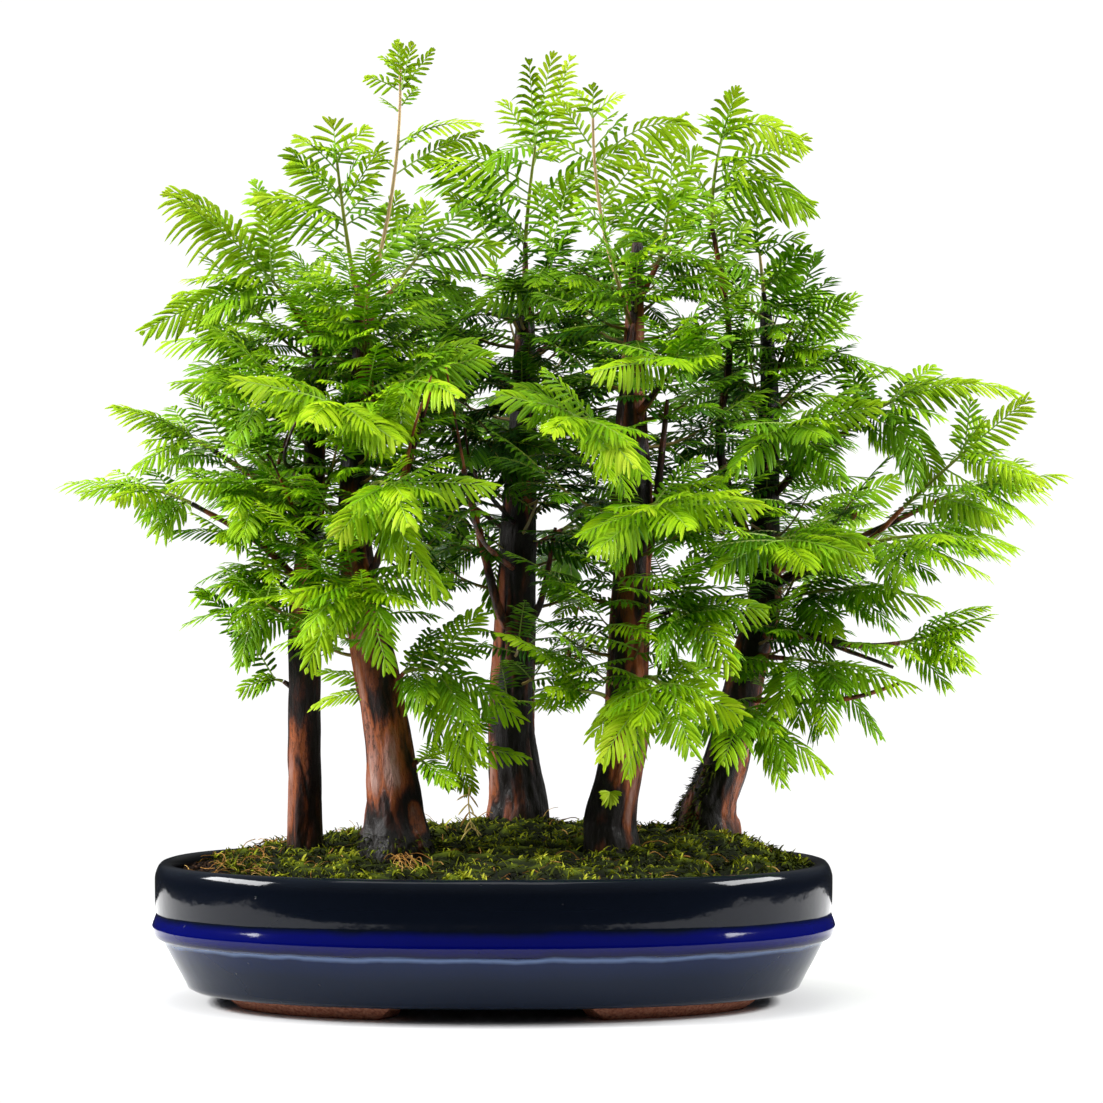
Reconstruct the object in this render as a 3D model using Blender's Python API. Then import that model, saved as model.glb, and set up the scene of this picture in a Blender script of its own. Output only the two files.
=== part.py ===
"""A dawn redwood forest bonsai: five trunks with feathery sprays in an oval glazed pot.

The origin is on the surface that the pot stands on, under the middle of the plant. X runs to
the right, Y to the back and Z up. Lengths are in millimetres and become metres in the meshes.
"""

import math
import random
from collections import namedtuple

import bmesh
import bpy
from mathutils import Vector
from mathutils.bvhtree import BVHTree

MM = 0.001
TOUCH_GAP = 0.3

# Pot
POT_X = -34.7
POT_LENGTH = 340.4
POT_DEPTH = 261.4
POT_HEIGHT = 69.7
POT_SIDES = 32
OVAL_POWER = 2.3
BEAD_HEIGHT = 38.7
FOOT_HEIGHT = 7.0
FLOOR_TOP = 15.0
DRAIN_HOLE_RADIUS = 9.0
DRAIN_HOLE_SPAN = 150.0
SCREEN_SIZE = 30.0
SCREEN_THICKNESS = 1.2

# Soil and moss
SOIL_EDGE_HEIGHT = 62.0
MOSS_EDGE_HEIGHT = 68.0
MOUND_RISE = 14.5
MOSS_DEPTH = 5.0
MOSS_RELIEF = 2.3
LEAST_MOSS = 3.2
ROOT_BOTTOM = 50.0

# Eye line of the front view, in which the plant's places are given
EYE = Vector((-6.0, 0.0, 224.0))
EYE_DISTANCE = 2050.0

# Trunks, branches and fronds
TRUNK_SIDES = 8
BRANCH_SIDES = 3
TEST_SIDES = 4
SHOOT_RADIUS = 1.0
FROND_LENGTH = 53.0
NEEDLE_LENGTH = 15.0
LEAFLET_PITCH = 13.8
RIB_HALF_WIDTH = 0.7
BLADE_THICKNESS = 1.0
PETIOLE_SHARE = 0.14
CLEARANCE = 0.8
WOOD_SHARE = 0.7
MOST_SHIFT = 9.0
END_FROND_SHARE = 0.76
TRIES = 26
SEED = 41

Spray = namedtuple("Spray", "trunk height wood tip arms fill length face needle")

# Each trunk's line runs from the moss up: x, y, z and radius.
TRUNKS = {
    1: [(-129, -10, 77.5, 8.6), (-129, -10, 92, 8.2), (-129.5, -11, 125, 8.0),
        (-129.5, -12, 163, 7.7), (-130, -12, 190, 7.1), (-126, -13, 240, 6.1),
        (-123.5, -14, 295, 4.5), (-120.5, -15, 345, 2.6)],
    2: [(-83, -45, 75, 20.0), (-83.5, -45, 83, 17.6), (-84, -45, 92, 15.2),
        (-87, -44, 125, 12.0), (-93, -43, 161, 11.2), (-101, -42, 200, 9.6),
        (-105, -40, 245, 8.0), (-101, -38, 300, 6.2), (-101, -34, 357, 3.6)],
    3: [(-23, 65, 92, 16.0), (-23, 65, 104, 14.6), (-26, 64, 133, 12.3),
        (-24.5, 63, 180, 11.0), (-22.5, 59, 235, 9.2), (-20, 56, 300, 6.8),
        (-19, 54, 360, 4.0)],
    4: [(23.5, -38, 77.5, 13.4), (23, -38, 90, 12.2), (28, -37, 114, 10.8),
        (31, -36, 134, 10.8), (33.5, -34, 200, 9.2), (36, -32, 250, 8.0),
        (34.5, -30, 300, 6.4), (37, -26, 378, 2.6)],
    5: [(72, 40, 85, 16.5), (72, 40, 94, 14.8), (76, 40, 106, 12.6),
        (82, 40, 122, 11.8), (92, 41, 165, 10.0), (100.5, 42, 200, 8.8),
        (101, 43, 245, 7.2), (103, 44, 300, 5.0), (101, 45, 345, 3.0)],
}

# Bare branches: trunk, height where they leave it, root radius and route.
BARE_BRANCHES = [
    (1, 305, 1.6, [(-134, -24, 290), (-143, -28, 267)]),
    (1, 235, 1.8, [(-140, -20, 243), (-148, -20, 273)]),
    (2, 200, 2.2, [(-84, -58, 245), (-64, -58, 315)]),
    (3, 180, 2.8, [(-33, 50, 197), (-46, 42, 250), (-57, 34, 292)]),
    (3, 180, 2.4, [(-12, 54, 197), (-4, 50, 236)]),
    (4, 215, 3.6, [(27, -41, 238), (28, -42, 290), (35, -34, 338)]),
    (4, 205, 3.2, [(44, -36, 232), (52, -38, 300)]),
    (5, 150, 1.9, [(119, 8, 149), (145, -14, 151), (168, -17, 158)]),
    (5, 178, 1.7, [(121, 18, 181), (143, 16, 174), (165, 14, 166)]),
    (5, 205, 2.8, [(118, 36, 214), (128, 32, 214)]),
]


def spray(trunk, height, wood, tip, arms=(), fill=4, length=FROND_LENGTH, face=0.6,
          needle=NEEDLE_LENGTH):
    """One leafy spray: its woody branch's route, its tip, the fronds whose tips are known
    and the number of fronds that fill in between them."""
    return Spray(trunk, height, wood, tip, arms, fill, length, face, needle)


SPRAYS = [
    # Left trunk
    spray(1, 205, [(-152, -14, 228), (-186, -18, 248)], (-248, 2, 258),
          arms=[(0.12, (-203, -30, 235)), (0.2, (-221, -8, 249))], fill=2, face=0.25),
    spray(1, 238, [(-150, -8, 258), (-176, 2, 275)], (-224, 12, 297),
          arms=[(0.15, (-200, 16, 272))], fill=3, face=0.3),
    spray(1, 232, [(-145, -35, 255)], (-196, -62, 257), face=0.35),
    spray(1, 195, [(-147, -6, 214)], (-184, -4, 201), arms=[(0.3, (-161, -32, 169))], fill=2,
          face=0.35),
    spray(1, 152, [(-140, -13, 159)], (-161, -17, 155), fill=0, length=22, needle=9),
    spray(1, 318, [(-126, -14, 332), (-138, -17, 350)], (-196, -30, 402), fill=4, length=86,
          face=0.7, needle=22),
    spray(1, 298, [(-140, 2, 322)], (-199, 22, 329), arms=[(0.35, (-186, 6, 346))], fill=3,
          face=0.35),
    spray(1, 275, [(-138, -28, 300)], (-194, -50, 308), face=0.35),
    spray(1, 250, [(-138, 40, 268)], (-166, 100, 284)),
    spray(1, 300, [(-114, 14, 320)], (-92, 54, 350), face=0.7),
    # Thick front trunk
    spray(2, 345, [(-108, -32, 375)], (-115, -32, 437),
          arms=[(0.3, (-151, -28, 402)), (0.6, (-134, -36, 431)), (0.6, (-97, -34, 431)),
                (0.05, (-86, -26, 352))], fill=0, length=22, face=0.8),
    spray(2, 350, [(-90, -30, 374)], (-82, -22, 477),
          arms=[(0.5, (-42, -25, 434)), (0.5, (-103, -18, 424)), (0.95, (-91, -27, 469)),
                (0.95, (-74, -17, 468))], fill=0, length=15, face=0.8, needle=7),
    spray(2, 240, [(-92, -84, 264)], (-78, -146, 238), arms=[(0.2, (-60, -116, 202))]),
    spray(2, 198, [(-104, -72, 216)], (-88, -108, 166),
          arms=[(0.2, (-128, -98, 166)), (0.4, (-108, -112, 160))], fill=2),
    spray(2, 150, [(-76, -55, 168)], (-22, -66, 140)),
    spray(2, 108, [(-73, -50, 119)], (-19, -58, 121),
          arms=[(0.1, (-56, -74, 108))], fill=3, length=40, needle=10),
    spray(2, 280, [(-112, -82, 300)], (-126, -136, 290)),
    spray(2, 292, [(-82, -78, 312)], (-54, -118, 302)),
    spray(2, 335, [(-80, -12, 362)], (-48, 12, 398)),
    # Back trunk
    spray(3, 352, [(-19, 50, 390)], (-6, 45, 470),
          arms=[(0.12, (-66, 42, 420)), (0.3, (30, 50, 432))], fill=1, length=60, face=0.9),
    spray(3, 300, [(-50, 85, 325)], (-88, 120, 335)),
    spray(3, 285, [(-15, 95, 302)], (-8, 150, 300)),
    spray(3, 318, [(12, 90, 342)], (40, 135, 358)),
    spray(3, 230, [(-52, 72, 252)], (-84, 108, 240)),
    spray(3, 222, [(8, 95, 240)], (22, 142, 228)),
    spray(3, 340, [(-8, 22, 368)], (4, -15, 386), arms=[(0.1, (-42, 6, 348))]),
    spray(3, 255, [(-40, 20, 285)], (-48, -28, 268), arms=[(0.2, (-14, -4, 262))]),
    # Front trunk, right of the middle
    spray(4, 345, [(26, -18, 358)], (15, -15, 456),
          arms=[(0.55, (64, -8, 435)), (0.3, (-8, -8, 384)), (0.9, (4, -17, 452)),
                (0.9, (27, -13, 450))], fill=0, length=18, face=0.9, needle=9),
    spray(4, 345, [(52, -18, 378)], (54, -12, 420),
          arms=[(0.1, (80, -26, 356)), (0.05, (60, -22, 346))], fill=4, length=30, face=0.8),
    spray(4, 290, [(58, -72, 320)], (54, -130, 318), arms=[(0.2, (84, -96, 330))]),
    spray(4, 232, [(42, -82, 250)], (62, -146, 236)),
    spray(4, 265, [(15, -80, 292)], (-6, -142, 284)),
    spray(4, 150, [(45, -70, 166)], (64, -108, 124)),
    spray(4, 142, [(16, -60, 156)], (-13, -74, 150), fill=0, length=28, needle=10),
    spray(4, 185, [(62, -52, 198)], (84, -82, 164)),
    # Right trunk
    spray(5, 215, [(86, 36, 245), (78, 34, 280), (83, 32, 330), (74, 30, 388)], (86, 26, 453),
          arms=[(0.25, (122, 32, 399)), (0.5, (119, 26, 430)), (0.2, (60, 28, 425))], fill=1,
          length=30, face=0.8),
    spray(5, 305, [(112, 26, 328)], (141, 8, 350), arms=[(0.2, (128, 4, 326))], fill=1,
          length=34),
    spray(5, 248, [(119, 34, 266), (148, 28, 290)], (204, 22, 308), fill=4, length=52),
    spray(5, 225, [(145, 26, 226), (170, 18, 246)], (232, 10, 300),
          arms=[(0.35, (213, 16, 315))], fill=3, length=52, face=0.45),
    spray(5, 212, [(150, 46, 232), (188, 36, 250)], (249, 14, 262), face=0.2),
    spray(5, 205, [(132, 8, 218), (154, -6, 228)], (226, -18, 226),
          arms=[(0.4, (214, -32, 214))], fill=3, face=0.25),
    spray(5, 195, [(124, 18, 205)], (186, 8, 199), face=0.3),
    spray(5, 182, [(121, 4, 182), (145, -3, 177), (168, 0, 178)], (212, -8, 192),
          arms=[(0.2, (199, -12, 170))], fill=3, length=36, face=0.3),
    spray(5, 172, [(118, -8, 170)], (174, -24, 157), arms=[(0.3, (158, -12, 133))], fill=3,
          face=0.4),
    spray(5, 140, [(92, -28, 150)], (80, -62, 119), arms=[(0.15, (113, -48, 116))]),
    spray(5, 215, [(106, -42, 236)], (122, -92, 216)),
    spray(5, 262, [(110, -40, 292)], (128, -88, 282), arms=[(0.2, (140, -62, 258))]),
    spray(5, 288, [(84, 88, 312)], (66, 138, 322),
          arms=[(0.3, (96, 126, 340)), (0.2, (52, 120, 298))]),
    spray(5, 225, [(128, 88, 240)], (150, 136, 240), arms=[(0.2, (104, 120, 222))]),
    spray(5, 343, [(100, 42, 354)], (96, 36, 392),
          arms=[(0.2, (122, 30, 374)), (0.2, (74, 34, 366))], fill=2, length=24, face=0.8),
]

# Scene and mesh helpers


def clear_scene():
    for obj in list(bpy.data.objects):
        bpy.data.objects.remove(obj, do_unlink=True)


def finish(name, colour, roughness):
    material = bpy.data.materials.new(name)
    material.use_nodes = True
    shader = material.node_tree.nodes["Principled BSDF"]
    shader.inputs["Base Color"].default_value = (*colour, 1.0)
    shader.inputs["Roughness"].default_value = roughness
    shader.inputs["Metallic"].default_value = 0.0
    material.diffuse_color = (*colour, 1.0)
    return material


def solid(name, verts, faces, material, smooth_angle=None):
    """An object from points in millimetres, its faces turned outwards."""
    mesh = bpy.data.meshes.new(name)
    mesh.from_pydata([Vector(v) * MM for v in verts], [], faces)
    shape = bmesh.new()
    shape.from_mesh(mesh)
    bmesh.ops.recalc_face_normals(shape, faces=shape.faces)
    shape.to_mesh(mesh)
    shape.free()
    mesh.materials.append(material)
    if smooth_angle:
        mesh.shade_smooth()
        mesh.set_sharp_from_angle(angle=math.radians(smooth_angle))
    obj = bpy.data.objects.new(name, mesh)
    bpy.context.scene.collection.objects.link(obj)
    return obj


def apply_boolean(obj, operation, others, solver="MANIFOLD"):
    """Joins or cuts obj with the other objects in one step and removes them."""
    group = bpy.data.collections.new("others")
    for other in others:
        group.objects.link(other)
    modifier = obj.modifiers.new("Join", "BOOLEAN")
    modifier.operation = operation
    modifier.operand_type = "COLLECTION"
    modifier.collection = group
    modifier.solver = solver
    bpy.context.view_layer.update()
    graph = bpy.context.evaluated_depsgraph_get()
    mesh = bpy.data.meshes.new_from_object(obj.evaluated_get(graph))
    obj.modifiers.remove(modifier)
    old = obj.data
    obj.data = mesh
    bpy.data.meshes.remove(old)
    mesh.name = obj.name
    for other in others:
        bpy.data.objects.remove(other, do_unlink=True)
    bpy.data.collections.remove(group)
    keep_outer_shell(mesh)


def keep_outer_shell(mesh):
    """Fills sealed hollows and drops loose scraps: only the widest shell stays."""
    shape = bmesh.new()
    shape.from_mesh(mesh)
    shells = []
    left = set(shape.faces)
    while left:
        stack = [left.pop()]
        shell = set(stack)
        while stack:
            for edge in stack.pop().edges:
                for face in edge.link_faces:
                    if face in left:
                        left.remove(face)
                        shell.add(face)
                        stack.append(face)
        shells.append(shell)
    shells.sort(key=lambda shell: sum(face.calc_area() for face in shell))
    spare = [face for shell in shells[:-1] for face in shell]
    bmesh.ops.delete(shape, geom=spare, context="FACES")
    shape.to_mesh(mesh)
    shape.free()


def oval(angle, half_length, half_depth):
    """A point of the pot's oval, a little squarer than an ellipse."""
    c = math.cos(angle)
    s = math.sin(angle)
    power = 2.0 / OVAL_POWER
    return (math.copysign(abs(c) ** power, c) * half_length,
            math.copysign(abs(s) ** power, s) * half_depth)


def seen(x, y, z):
    """A place given as the front view shows it on the pot's middle plane, at its real depth."""
    spread = 1.0 + y / EYE_DISTANCE
    return Vector((EYE.x + (x - EYE.x) * spread, y, EYE.z + (z - EYE.z) * spread))


def tube(points, radii, sides, turn=0.0, swell=None):
    """Points and faces of a closed tube round a line. The line's frame is carried along it."""
    verts = []
    faces = []
    count = len(points)
    side = Vector((-1.0, 0.0, 0.0))
    for i, point in enumerate(points):
        along = (points[min(i + 1, count - 1)] - points[max(i - 1, 0)]).normalized()
        side = side - along * side.dot(along)
        if side.length < 0.3:
            side = along.cross(Vector((0.0, 1.0, 0.0)))
        side.normalize()
        up = side.cross(along)
        for k in range(sides):
            angle = turn + 2 * math.pi * k / sides
            radius = radii[i] * (swell(i, k) if swell else 1.0)
            verts.append(point + (side * math.cos(angle) + up * math.sin(angle)) * radius)
    for i in range(count - 1):
        for k in range(sides):
            a = i * sides + k
            b = i * sides + (k + 1) % sides
            faces.append((a, b, b + sides, a + sides))
    faces.append(tuple(range(sides)))
    faces.append(tuple(range((count - 1) * sides, count * sides)))
    return verts, faces


def add_points(verts, points):
    """Adds points to a list and gives their places in it."""
    first = len(verts)
    verts += points
    return tuple(range(first, len(verts)))


def as_tree(verts, faces):
    return BVHTree.FromPolygons(verts, faces, all_triangles=False, epsilon=0.0)


# Pot, screens, soil and moss

# Rings of the pot from the underside's edge over the rim to the floor's edge: how far each
# lies in from the bead's crest, and its height.
POT_RINGS = [
    (25.0, FOOT_HEIGHT), (17.6, 9.4), (12.2, 18.5), (5.2, 32.2), (1.9, 33.6),
    (0.0, BEAD_HEIGHT), (1.5, 43.2), (1.3, 55.0), (0.7, 65.8), (2.6, POT_HEIGHT),
    (9.0, POT_HEIGHT), (11.0, 66.0), (13.5, 45.0), (22.0, 20.0), (28.0, FLOOR_TOP),
]


def pot_ring(inset, height):
    half_length = POT_LENGTH / 2 - inset
    half_depth = POT_DEPTH / 2 - inset
    ring = []
    for k in range(POT_SIDES):
        x, y = oval(2 * math.pi * k / POT_SIDES, half_length, half_depth)
        ring.append(Vector((POT_X + x, y, height)))
    return ring


def skin(rings, back=False):
    """Triangles that join equal rings, with a fan on the first and the last. The quads' other
    diagonal serves a body whose rings run the other way than its neighbour's."""
    verts = [v for ring in rings for v in ring]
    count = len(rings[0])
    faces = []
    for i in range(len(rings) - 1):
        for k in range(count):
            a = i * count + k
            b = i * count + (k + 1) % count
            if back:
                faces += [(a, b, a + count), (b, b + count, a + count)]
            else:
                faces += [(a, b, b + count), (a, b + count, a + count)]
    for first in (0, (len(rings) - 1) * count):
        middle = add_points(verts, [sum(verts[first:first + count], Vector()) / count])[0]
        faces += [(first + k, first + (k + 1) % count, middle) for k in range(count)]
    return verts, faces


def foot(material, mirror_x, mirror_y):
    """One foot that follows the base's oval, its outer face and ends sloping in."""
    top_start, top_end, bottom_start, bottom_end = 0.32, 0.95, 0.41, 0.93
    steps = 5
    rings = []
    for level, half_length, half_depth, start, end in (
            (FOOT_HEIGHT + 2.0, 142.0, 104.0, top_start, top_end),
            (0.0, 132.0, 97.0, bottom_start, bottom_end)):
        outer = []
        inner = []
        for i in range(steps + 1):
            share = start + (end - start) * i / steps
            depth = (1.0 - share ** OVAL_POWER) ** (1.0 / OVAL_POWER)
            outer.append((half_length * share, half_depth * depth))
            inner.append(((half_length - 20.0) * share, (half_depth - 20.0) * depth))
        loop = outer + inner[::-1]
        rings.append([Vector((POT_X + x * mirror_x, y * mirror_y, level)) for x, y in loop])
    verts, faces = skin(rings)
    return solid("foot", verts, faces, material)


def drain_cutter(x, material):
    rings = []
    for height in (FOOT_HEIGHT - 3.0, FLOOR_TOP + 3.0):
        rings.append([Vector((x + DRAIN_HOLE_RADIUS * math.cos(math.pi * k / 6),
                              DRAIN_HOLE_RADIUS * math.sin(math.pi * k / 6), height))
                      for k in range(12)])
    verts, faces = skin(rings)
    return solid("drain_cutter", verts, faces, material)


def drain_places():
    return (("left", POT_X - DRAIN_HOLE_SPAN / 2), ("right", POT_X + DRAIN_HOLE_SPAN / 2))


def make_pot():
    glaze = finish("navy_glaze", (0.012, 0.022, 0.05), 0.12)
    verts, faces = skin([pot_ring(inset, height) for inset, height in POT_RINGS])
    pot = solid("pot", verts, faces, glaze, smooth_angle=40)
    feet = [foot(glaze, mx, my) for mx in (-1, 1) for my in (-1, 1)]
    apply_boolean(pot, "UNION", feet)
    cutters = [drain_cutter(x, glaze) for _, x in drain_places()]
    apply_boolean(pot, "DIFFERENCE", cutters)


def box(name, low, high, material):
    corners = [Vector((x, y, z)) for z in (low.z, high.z)
               for x, y in ((low.x, low.y), (high.x, low.y), (high.x, high.y), (low.x, high.y))]
    faces = [(0, 1, 2, 3), (4, 5, 6, 7), (0, 1, 5, 4), (1, 2, 6, 5), (2, 3, 7, 6), (3, 0, 4, 7)]
    return solid(name, corners, faces, material)


def screen_bottom():
    return FLOOR_TOP + TOUCH_GAP


def make_screens():
    plastic = finish("black_plastic_mesh", (0.02, 0.02, 0.02), 0.6)
    half = SCREEN_SIZE / 2
    bar = 3.0
    cell = (SCREEN_SIZE - 3 * bar) / 2
    for side, x in drain_places():
        low = Vector((x - half, -half, screen_bottom()))
        high = Vector((x + half, half, screen_bottom() + SCREEN_THICKNESS))
        screen = box("drain_screen_" + side, low, high, plastic)
        holes = []
        for i in range(2):
            for j in range(2):
                corner = Vector((low.x + bar + i * (cell + bar), low.y + bar + j * (cell + bar),
                                 low.z - 1.0))
                holes.append(box("hole", corner,
                                 corner + Vector((cell, cell, SCREEN_THICKNESS + 2.0)), plastic))
        apply_boolean(screen, "DIFFERENCE", holes)


def mound(x, y):
    """Height of the moss at a place: a mound that is heaped up round two of the trunks."""
    dx = (x - POT_X) / (POT_LENGTH / 2 - 11.0)
    dy = y / (POT_DEPTH / 2 - 11.0)
    rho = min(1.0, (abs(dx) ** OVAL_POWER + abs(dy) ** OVAL_POWER) ** (1.0 / OVAL_POWER))
    level = 1.0 - rho ** 2
    height = MOSS_EDGE_HEIGHT + MOUND_RISE * (1.0 - rho ** 3)
    height += (0.07 * y + 0.02 * (x - POT_X)) * level
    for number in (3, 5):
        root = seen(*TRUNKS[number][0][:3])
        near = ((x - root.x) ** 2 + (y - root.y) ** 2) / (2 * 28.0 ** 2)
        height += 4.5 * math.exp(-near)
    return height


def moss_ring(share, lift):
    """A ring of the moss carpet, which stops short of the pot's left end."""
    ring = []
    for k in range(POT_SIDES):
        x, y = oval(2 * math.pi * k / POT_SIDES, 153.0 * share, 117.0 * share)
        if x < 0:
            x *= 0.92
        x += POT_X + 3.0
        ring.append(Vector((x, y, lift(x, y, k))))
    return ring


def soil_top(x, y):
    return mound(x, y) - MOSS_DEPTH


def make_soil():
    earth = finish("dark_soil", (0.02, 0.014, 0.009), 0.95)
    rings = [pot_ring(POT_RINGS[14][0] + TOUCH_GAP, FLOOR_TOP + TOUCH_GAP),
             pot_ring(POT_RINGS[13][0] + TOUCH_GAP, POT_RINGS[13][1] + TOUCH_GAP),
             pot_ring(POT_RINGS[12][0] + TOUCH_GAP, POT_RINGS[12][1]),
             pot_ring(POT_RINGS[11][0] + 3.5 * TOUCH_GAP, SOIL_EDGE_HEIGHT)]
    for share in (1.0, 0.6, 0.25):
        rings.append(moss_ring(share, lambda x, y, k: soil_top(x, y)))
    verts, faces = skin(rings, back=True)
    soil = solid("soil", verts, faces, earth, smooth_angle=50)
    pockets = []
    for _, x in drain_places():
        half = SCREEN_SIZE / 2 + TOUCH_GAP
        pockets.append(box("pocket", Vector((x - half, -half, FLOOR_TOP - 1.0)),
                           Vector((x + half, half, screen_bottom() + SCREEN_THICKNESS + TOUCH_GAP)),
                           earth))
    apply_boolean(soil, "DIFFERENCE", pockets + root_holes(earth))


def moss_relief(x, y, k):
    """Cushions of moss, a couple of centimetres across, over the mound."""
    waves = 1.3 * math.sin(0.19 * x + 1.4 * math.sin(0.11 * y)) * math.cos(0.21 * y + 0.05 * x)
    waves += 0.8 * math.sin(2.4 * k + 0.13 * x - 0.17 * y)
    return mound(x, y) + max(-LEAST_MOSS, MOSS_RELIEF * waves)


def make_moss():
    green = finish("moss", (0.13, 0.17, 0.02), 0.95)
    rings = []
    for share in (0.25, 0.6, 1.0):
        rings.append(moss_ring(share, lambda x, y, k: soil_top(x, y) + TOUCH_GAP))
    rings.append(moss_ring(1.0, lambda x, y, k: soil_top(x, y) + 2.5))
    for share in (0.95, 0.82, 0.66, 0.5, 0.33, 0.15):
        rings.append(moss_ring(share, moss_relief))
    verts, faces = skin(rings)
    moss = solid("moss", verts, faces, green, smooth_angle=60)
    apply_boolean(moss, "DIFFERENCE", root_holes(green))


# Trunks and branches


def trunk_places(number):
    return [(seen(x, y, z), radius) for x, y, z, radius in TRUNKS[number]]


def root_holes(material):
    """Plain straight holes for the trunks' root ends."""
    holes = []
    for number in TRUNKS:
        foot_place, radius = trunk_places(number)[0]
        wide = (radius * 1.06 + TOUCH_GAP) / math.cos(math.pi / TRUNK_SIDES)
        line = [Vector((foot_place.x, foot_place.y, z)) for z in (ROOT_BOTTOM - TOUCH_GAP, 120.0)]
        verts, faces = tube(line, [wide, wide], TRUNK_SIDES)
        holes.append(solid("root_hole", verts, faces, material))
    return holes


def trunk_point(number, height):
    """The trunk's middle and radius at a height, as the front view shows it."""
    line = TRUNKS[number]
    for low, high in zip(line, line[1:]):
        if low[2] <= height <= high[2]:
            share = (height - low[2]) / (high[2] - low[2])
            x, y, z, radius = (a + (b - a) * share for a, b in zip(low, high))
            return seen(x, y, z), radius
    raise ValueError("no trunk at this height")


def trunk_mesh(number):
    """The trunk from its buried root end up, slightly ribbed and uneven all round."""
    draw = random.Random(SEED + number)
    places = trunk_places(number)
    foot_place = places[0][0]
    points = [Vector((foot_place.x, foot_place.y, z)) for z in (ROOT_BOTTOM, foot_place.z - 4.0)]
    radii = [places[0][1]] * 2
    for place, radius in places[1:]:
        points.append(place)
        radii.append(radius)
    ribs = [[1.0 + draw.uniform(-0.06, 0.06) for _ in range(TRUNK_SIDES)] for _ in points]
    ribs[0] = [1.0] * TRUNK_SIDES
    ribs[1] = [1.0] * TRUNK_SIDES
    return tube(points, radii, TRUNK_SIDES, swell=lambda i, k: ribs[i][k])


def branch_line(number, height, route):
    start, _ = trunk_point(number, height)
    return [start] + [seen(*place) for place in route]


def branch_mesh(line, root_radius, tip_radius, spare=0.0):
    count = len(line)
    radii = [root_radius + (tip_radius - root_radius) * i / (count - 1) + spare
             for i in range(count)]
    return tube(line, radii, TEST_SIDES if spare else BRANCH_SIDES)


def branch_root_radius(row):
    return 1.5 + 0.35 * len(row.wood)


# Fronds


def bezier(a, b, c, s):
    return a * (1 - s) ** 2 + b * (2 * s * (1 - s)) + c * s ** 2


class Frond:
    """A flat feathery frond on a curved rib from root over bend to tip."""

    def __init__(self, root, bend, tip, facing, needle):
        self.root = root
        self.bend = bend
        self.tip = tip
        self.facing = facing
        self.needle = needle

    def frame(self, s):
        point = bezier(self.root, self.bend, self.tip, s)
        along = (self.bend - self.root) * (1 - s) + (self.tip - self.bend) * s
        along.normalize()
        side = self.facing.cross(along)
        if side.length < 0.15:
            side = Vector((1.0, 0.3, 0.2)).cross(along)
        side.normalize()
        return point, along, side, along.cross(side)

    def length(self):
        around = (self.bend - self.root).length + (self.tip - self.bend).length
        return (around + (self.tip - self.root).length) / 2

    def reach(self, s):
        """Needle length at a place on the rib: short at the root, shorter at the tip."""
        swell = 0.62 + 0.38 * math.sin(math.pi * min(1.0, s) ** 0.8)
        taper = 1.0 if s < 0.78 else 1.0 - 0.5 * (s - 0.78) / 0.22
        return self.needle * swell * taper

    def needle_end(self, s, hand):
        point, along, side, normal = self.frame(s)
        lean = math.radians(72.0 - 30.0 * s)
        reach = self.reach(s)
        return (point + side * (hand * reach * math.sin(lean)) + along * (reach * math.cos(lean))
                - normal * (0.12 * reach))

    def leaflets(self):
        return max(3, min(7, round(self.length() / LEAFLET_PITCH)))

    def blade(self, verts, faces, ring):
        """Adds a thin blade whose saw-toothed edge runs in to the rib between its leaflets.
        It grows from a ring of four points: left and right above, right and left below."""
        count = self.leaflets()
        for i in range(count + 1):
            station = PETIOLE_SHARE + (0.95 - PETIOLE_SHARE) * i / count
            point, along, side, normal = self.frame(station)
            half = side * RIB_HALF_WIDTH
            thick = normal * (BLADE_THICKNESS / 2)
            fresh = add_points(verts, [point - half + thick, point + half + thick,
                                       point + half - thick, point - half - thick])
            faces += [(ring[0], ring[1], fresh[1], fresh[0]),
                      (ring[3], fresh[3], fresh[2], ring[2])]
            if i == 0:
                faces += [(ring[1], ring[2], fresh[2], fresh[1]),
                          (ring[0], fresh[0], fresh[3], ring[3])]
            else:
                middle = station - 0.58 * (0.95 - PETIOLE_SHARE) / count
                for hand, top, under in ((-1, 0, 3), (1, 1, 2)):
                    end = add_points(verts, [self.needle_end(middle, hand)])[0]
                    faces += [(ring[top], fresh[top], end), (ring[under], end, fresh[under]),
                              (ring[top], end, ring[under]), (fresh[top], fresh[under], end)]
            ring = fresh
        end = add_points(verts, [self.tip + (self.tip - self.bend).normalized() * 1.5])[0]
        faces += [(ring[i], ring[(i + 1) % 4], end) for i in range(4)]

    def slab(self, start):
        """The room that the frond needs, from a place on its rib to its tip."""
        verts = []
        faces = []
        steps = 4
        for i in range(steps + 1):
            s = start + (1.0 - start) * i / steps
            point, along, side, normal = self.frame(s)
            spare = normal * (BLADE_THICKNESS / 2 + CLEARANCE)
            for place in (self.needle_end(s, -1) - side * CLEARANCE, point,
                          self.needle_end(s, 1) + side * CLEARANCE):
                verts += [place + spare, place - spare]
        for i in range(steps):
            a = 6 * i
            b = a + 6
            faces += [(a, a + 2, b + 2, b), (a + 2, a + 4, b + 4, b + 2),
                      (a + 1, b + 1, b + 3, a + 3), (a + 3, b + 3, b + 5, a + 5),
                      (a, b, b + 1, a + 1), (a + 4, a + 5, b + 5, b + 4)]
        last = 6 * steps
        faces += [(0, 1, 3, 2), (2, 3, 5, 4), (last, last + 2, last + 3, last + 1),
                  (last + 2, last + 4, last + 5, last + 3)]
        return verts, faces


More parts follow.
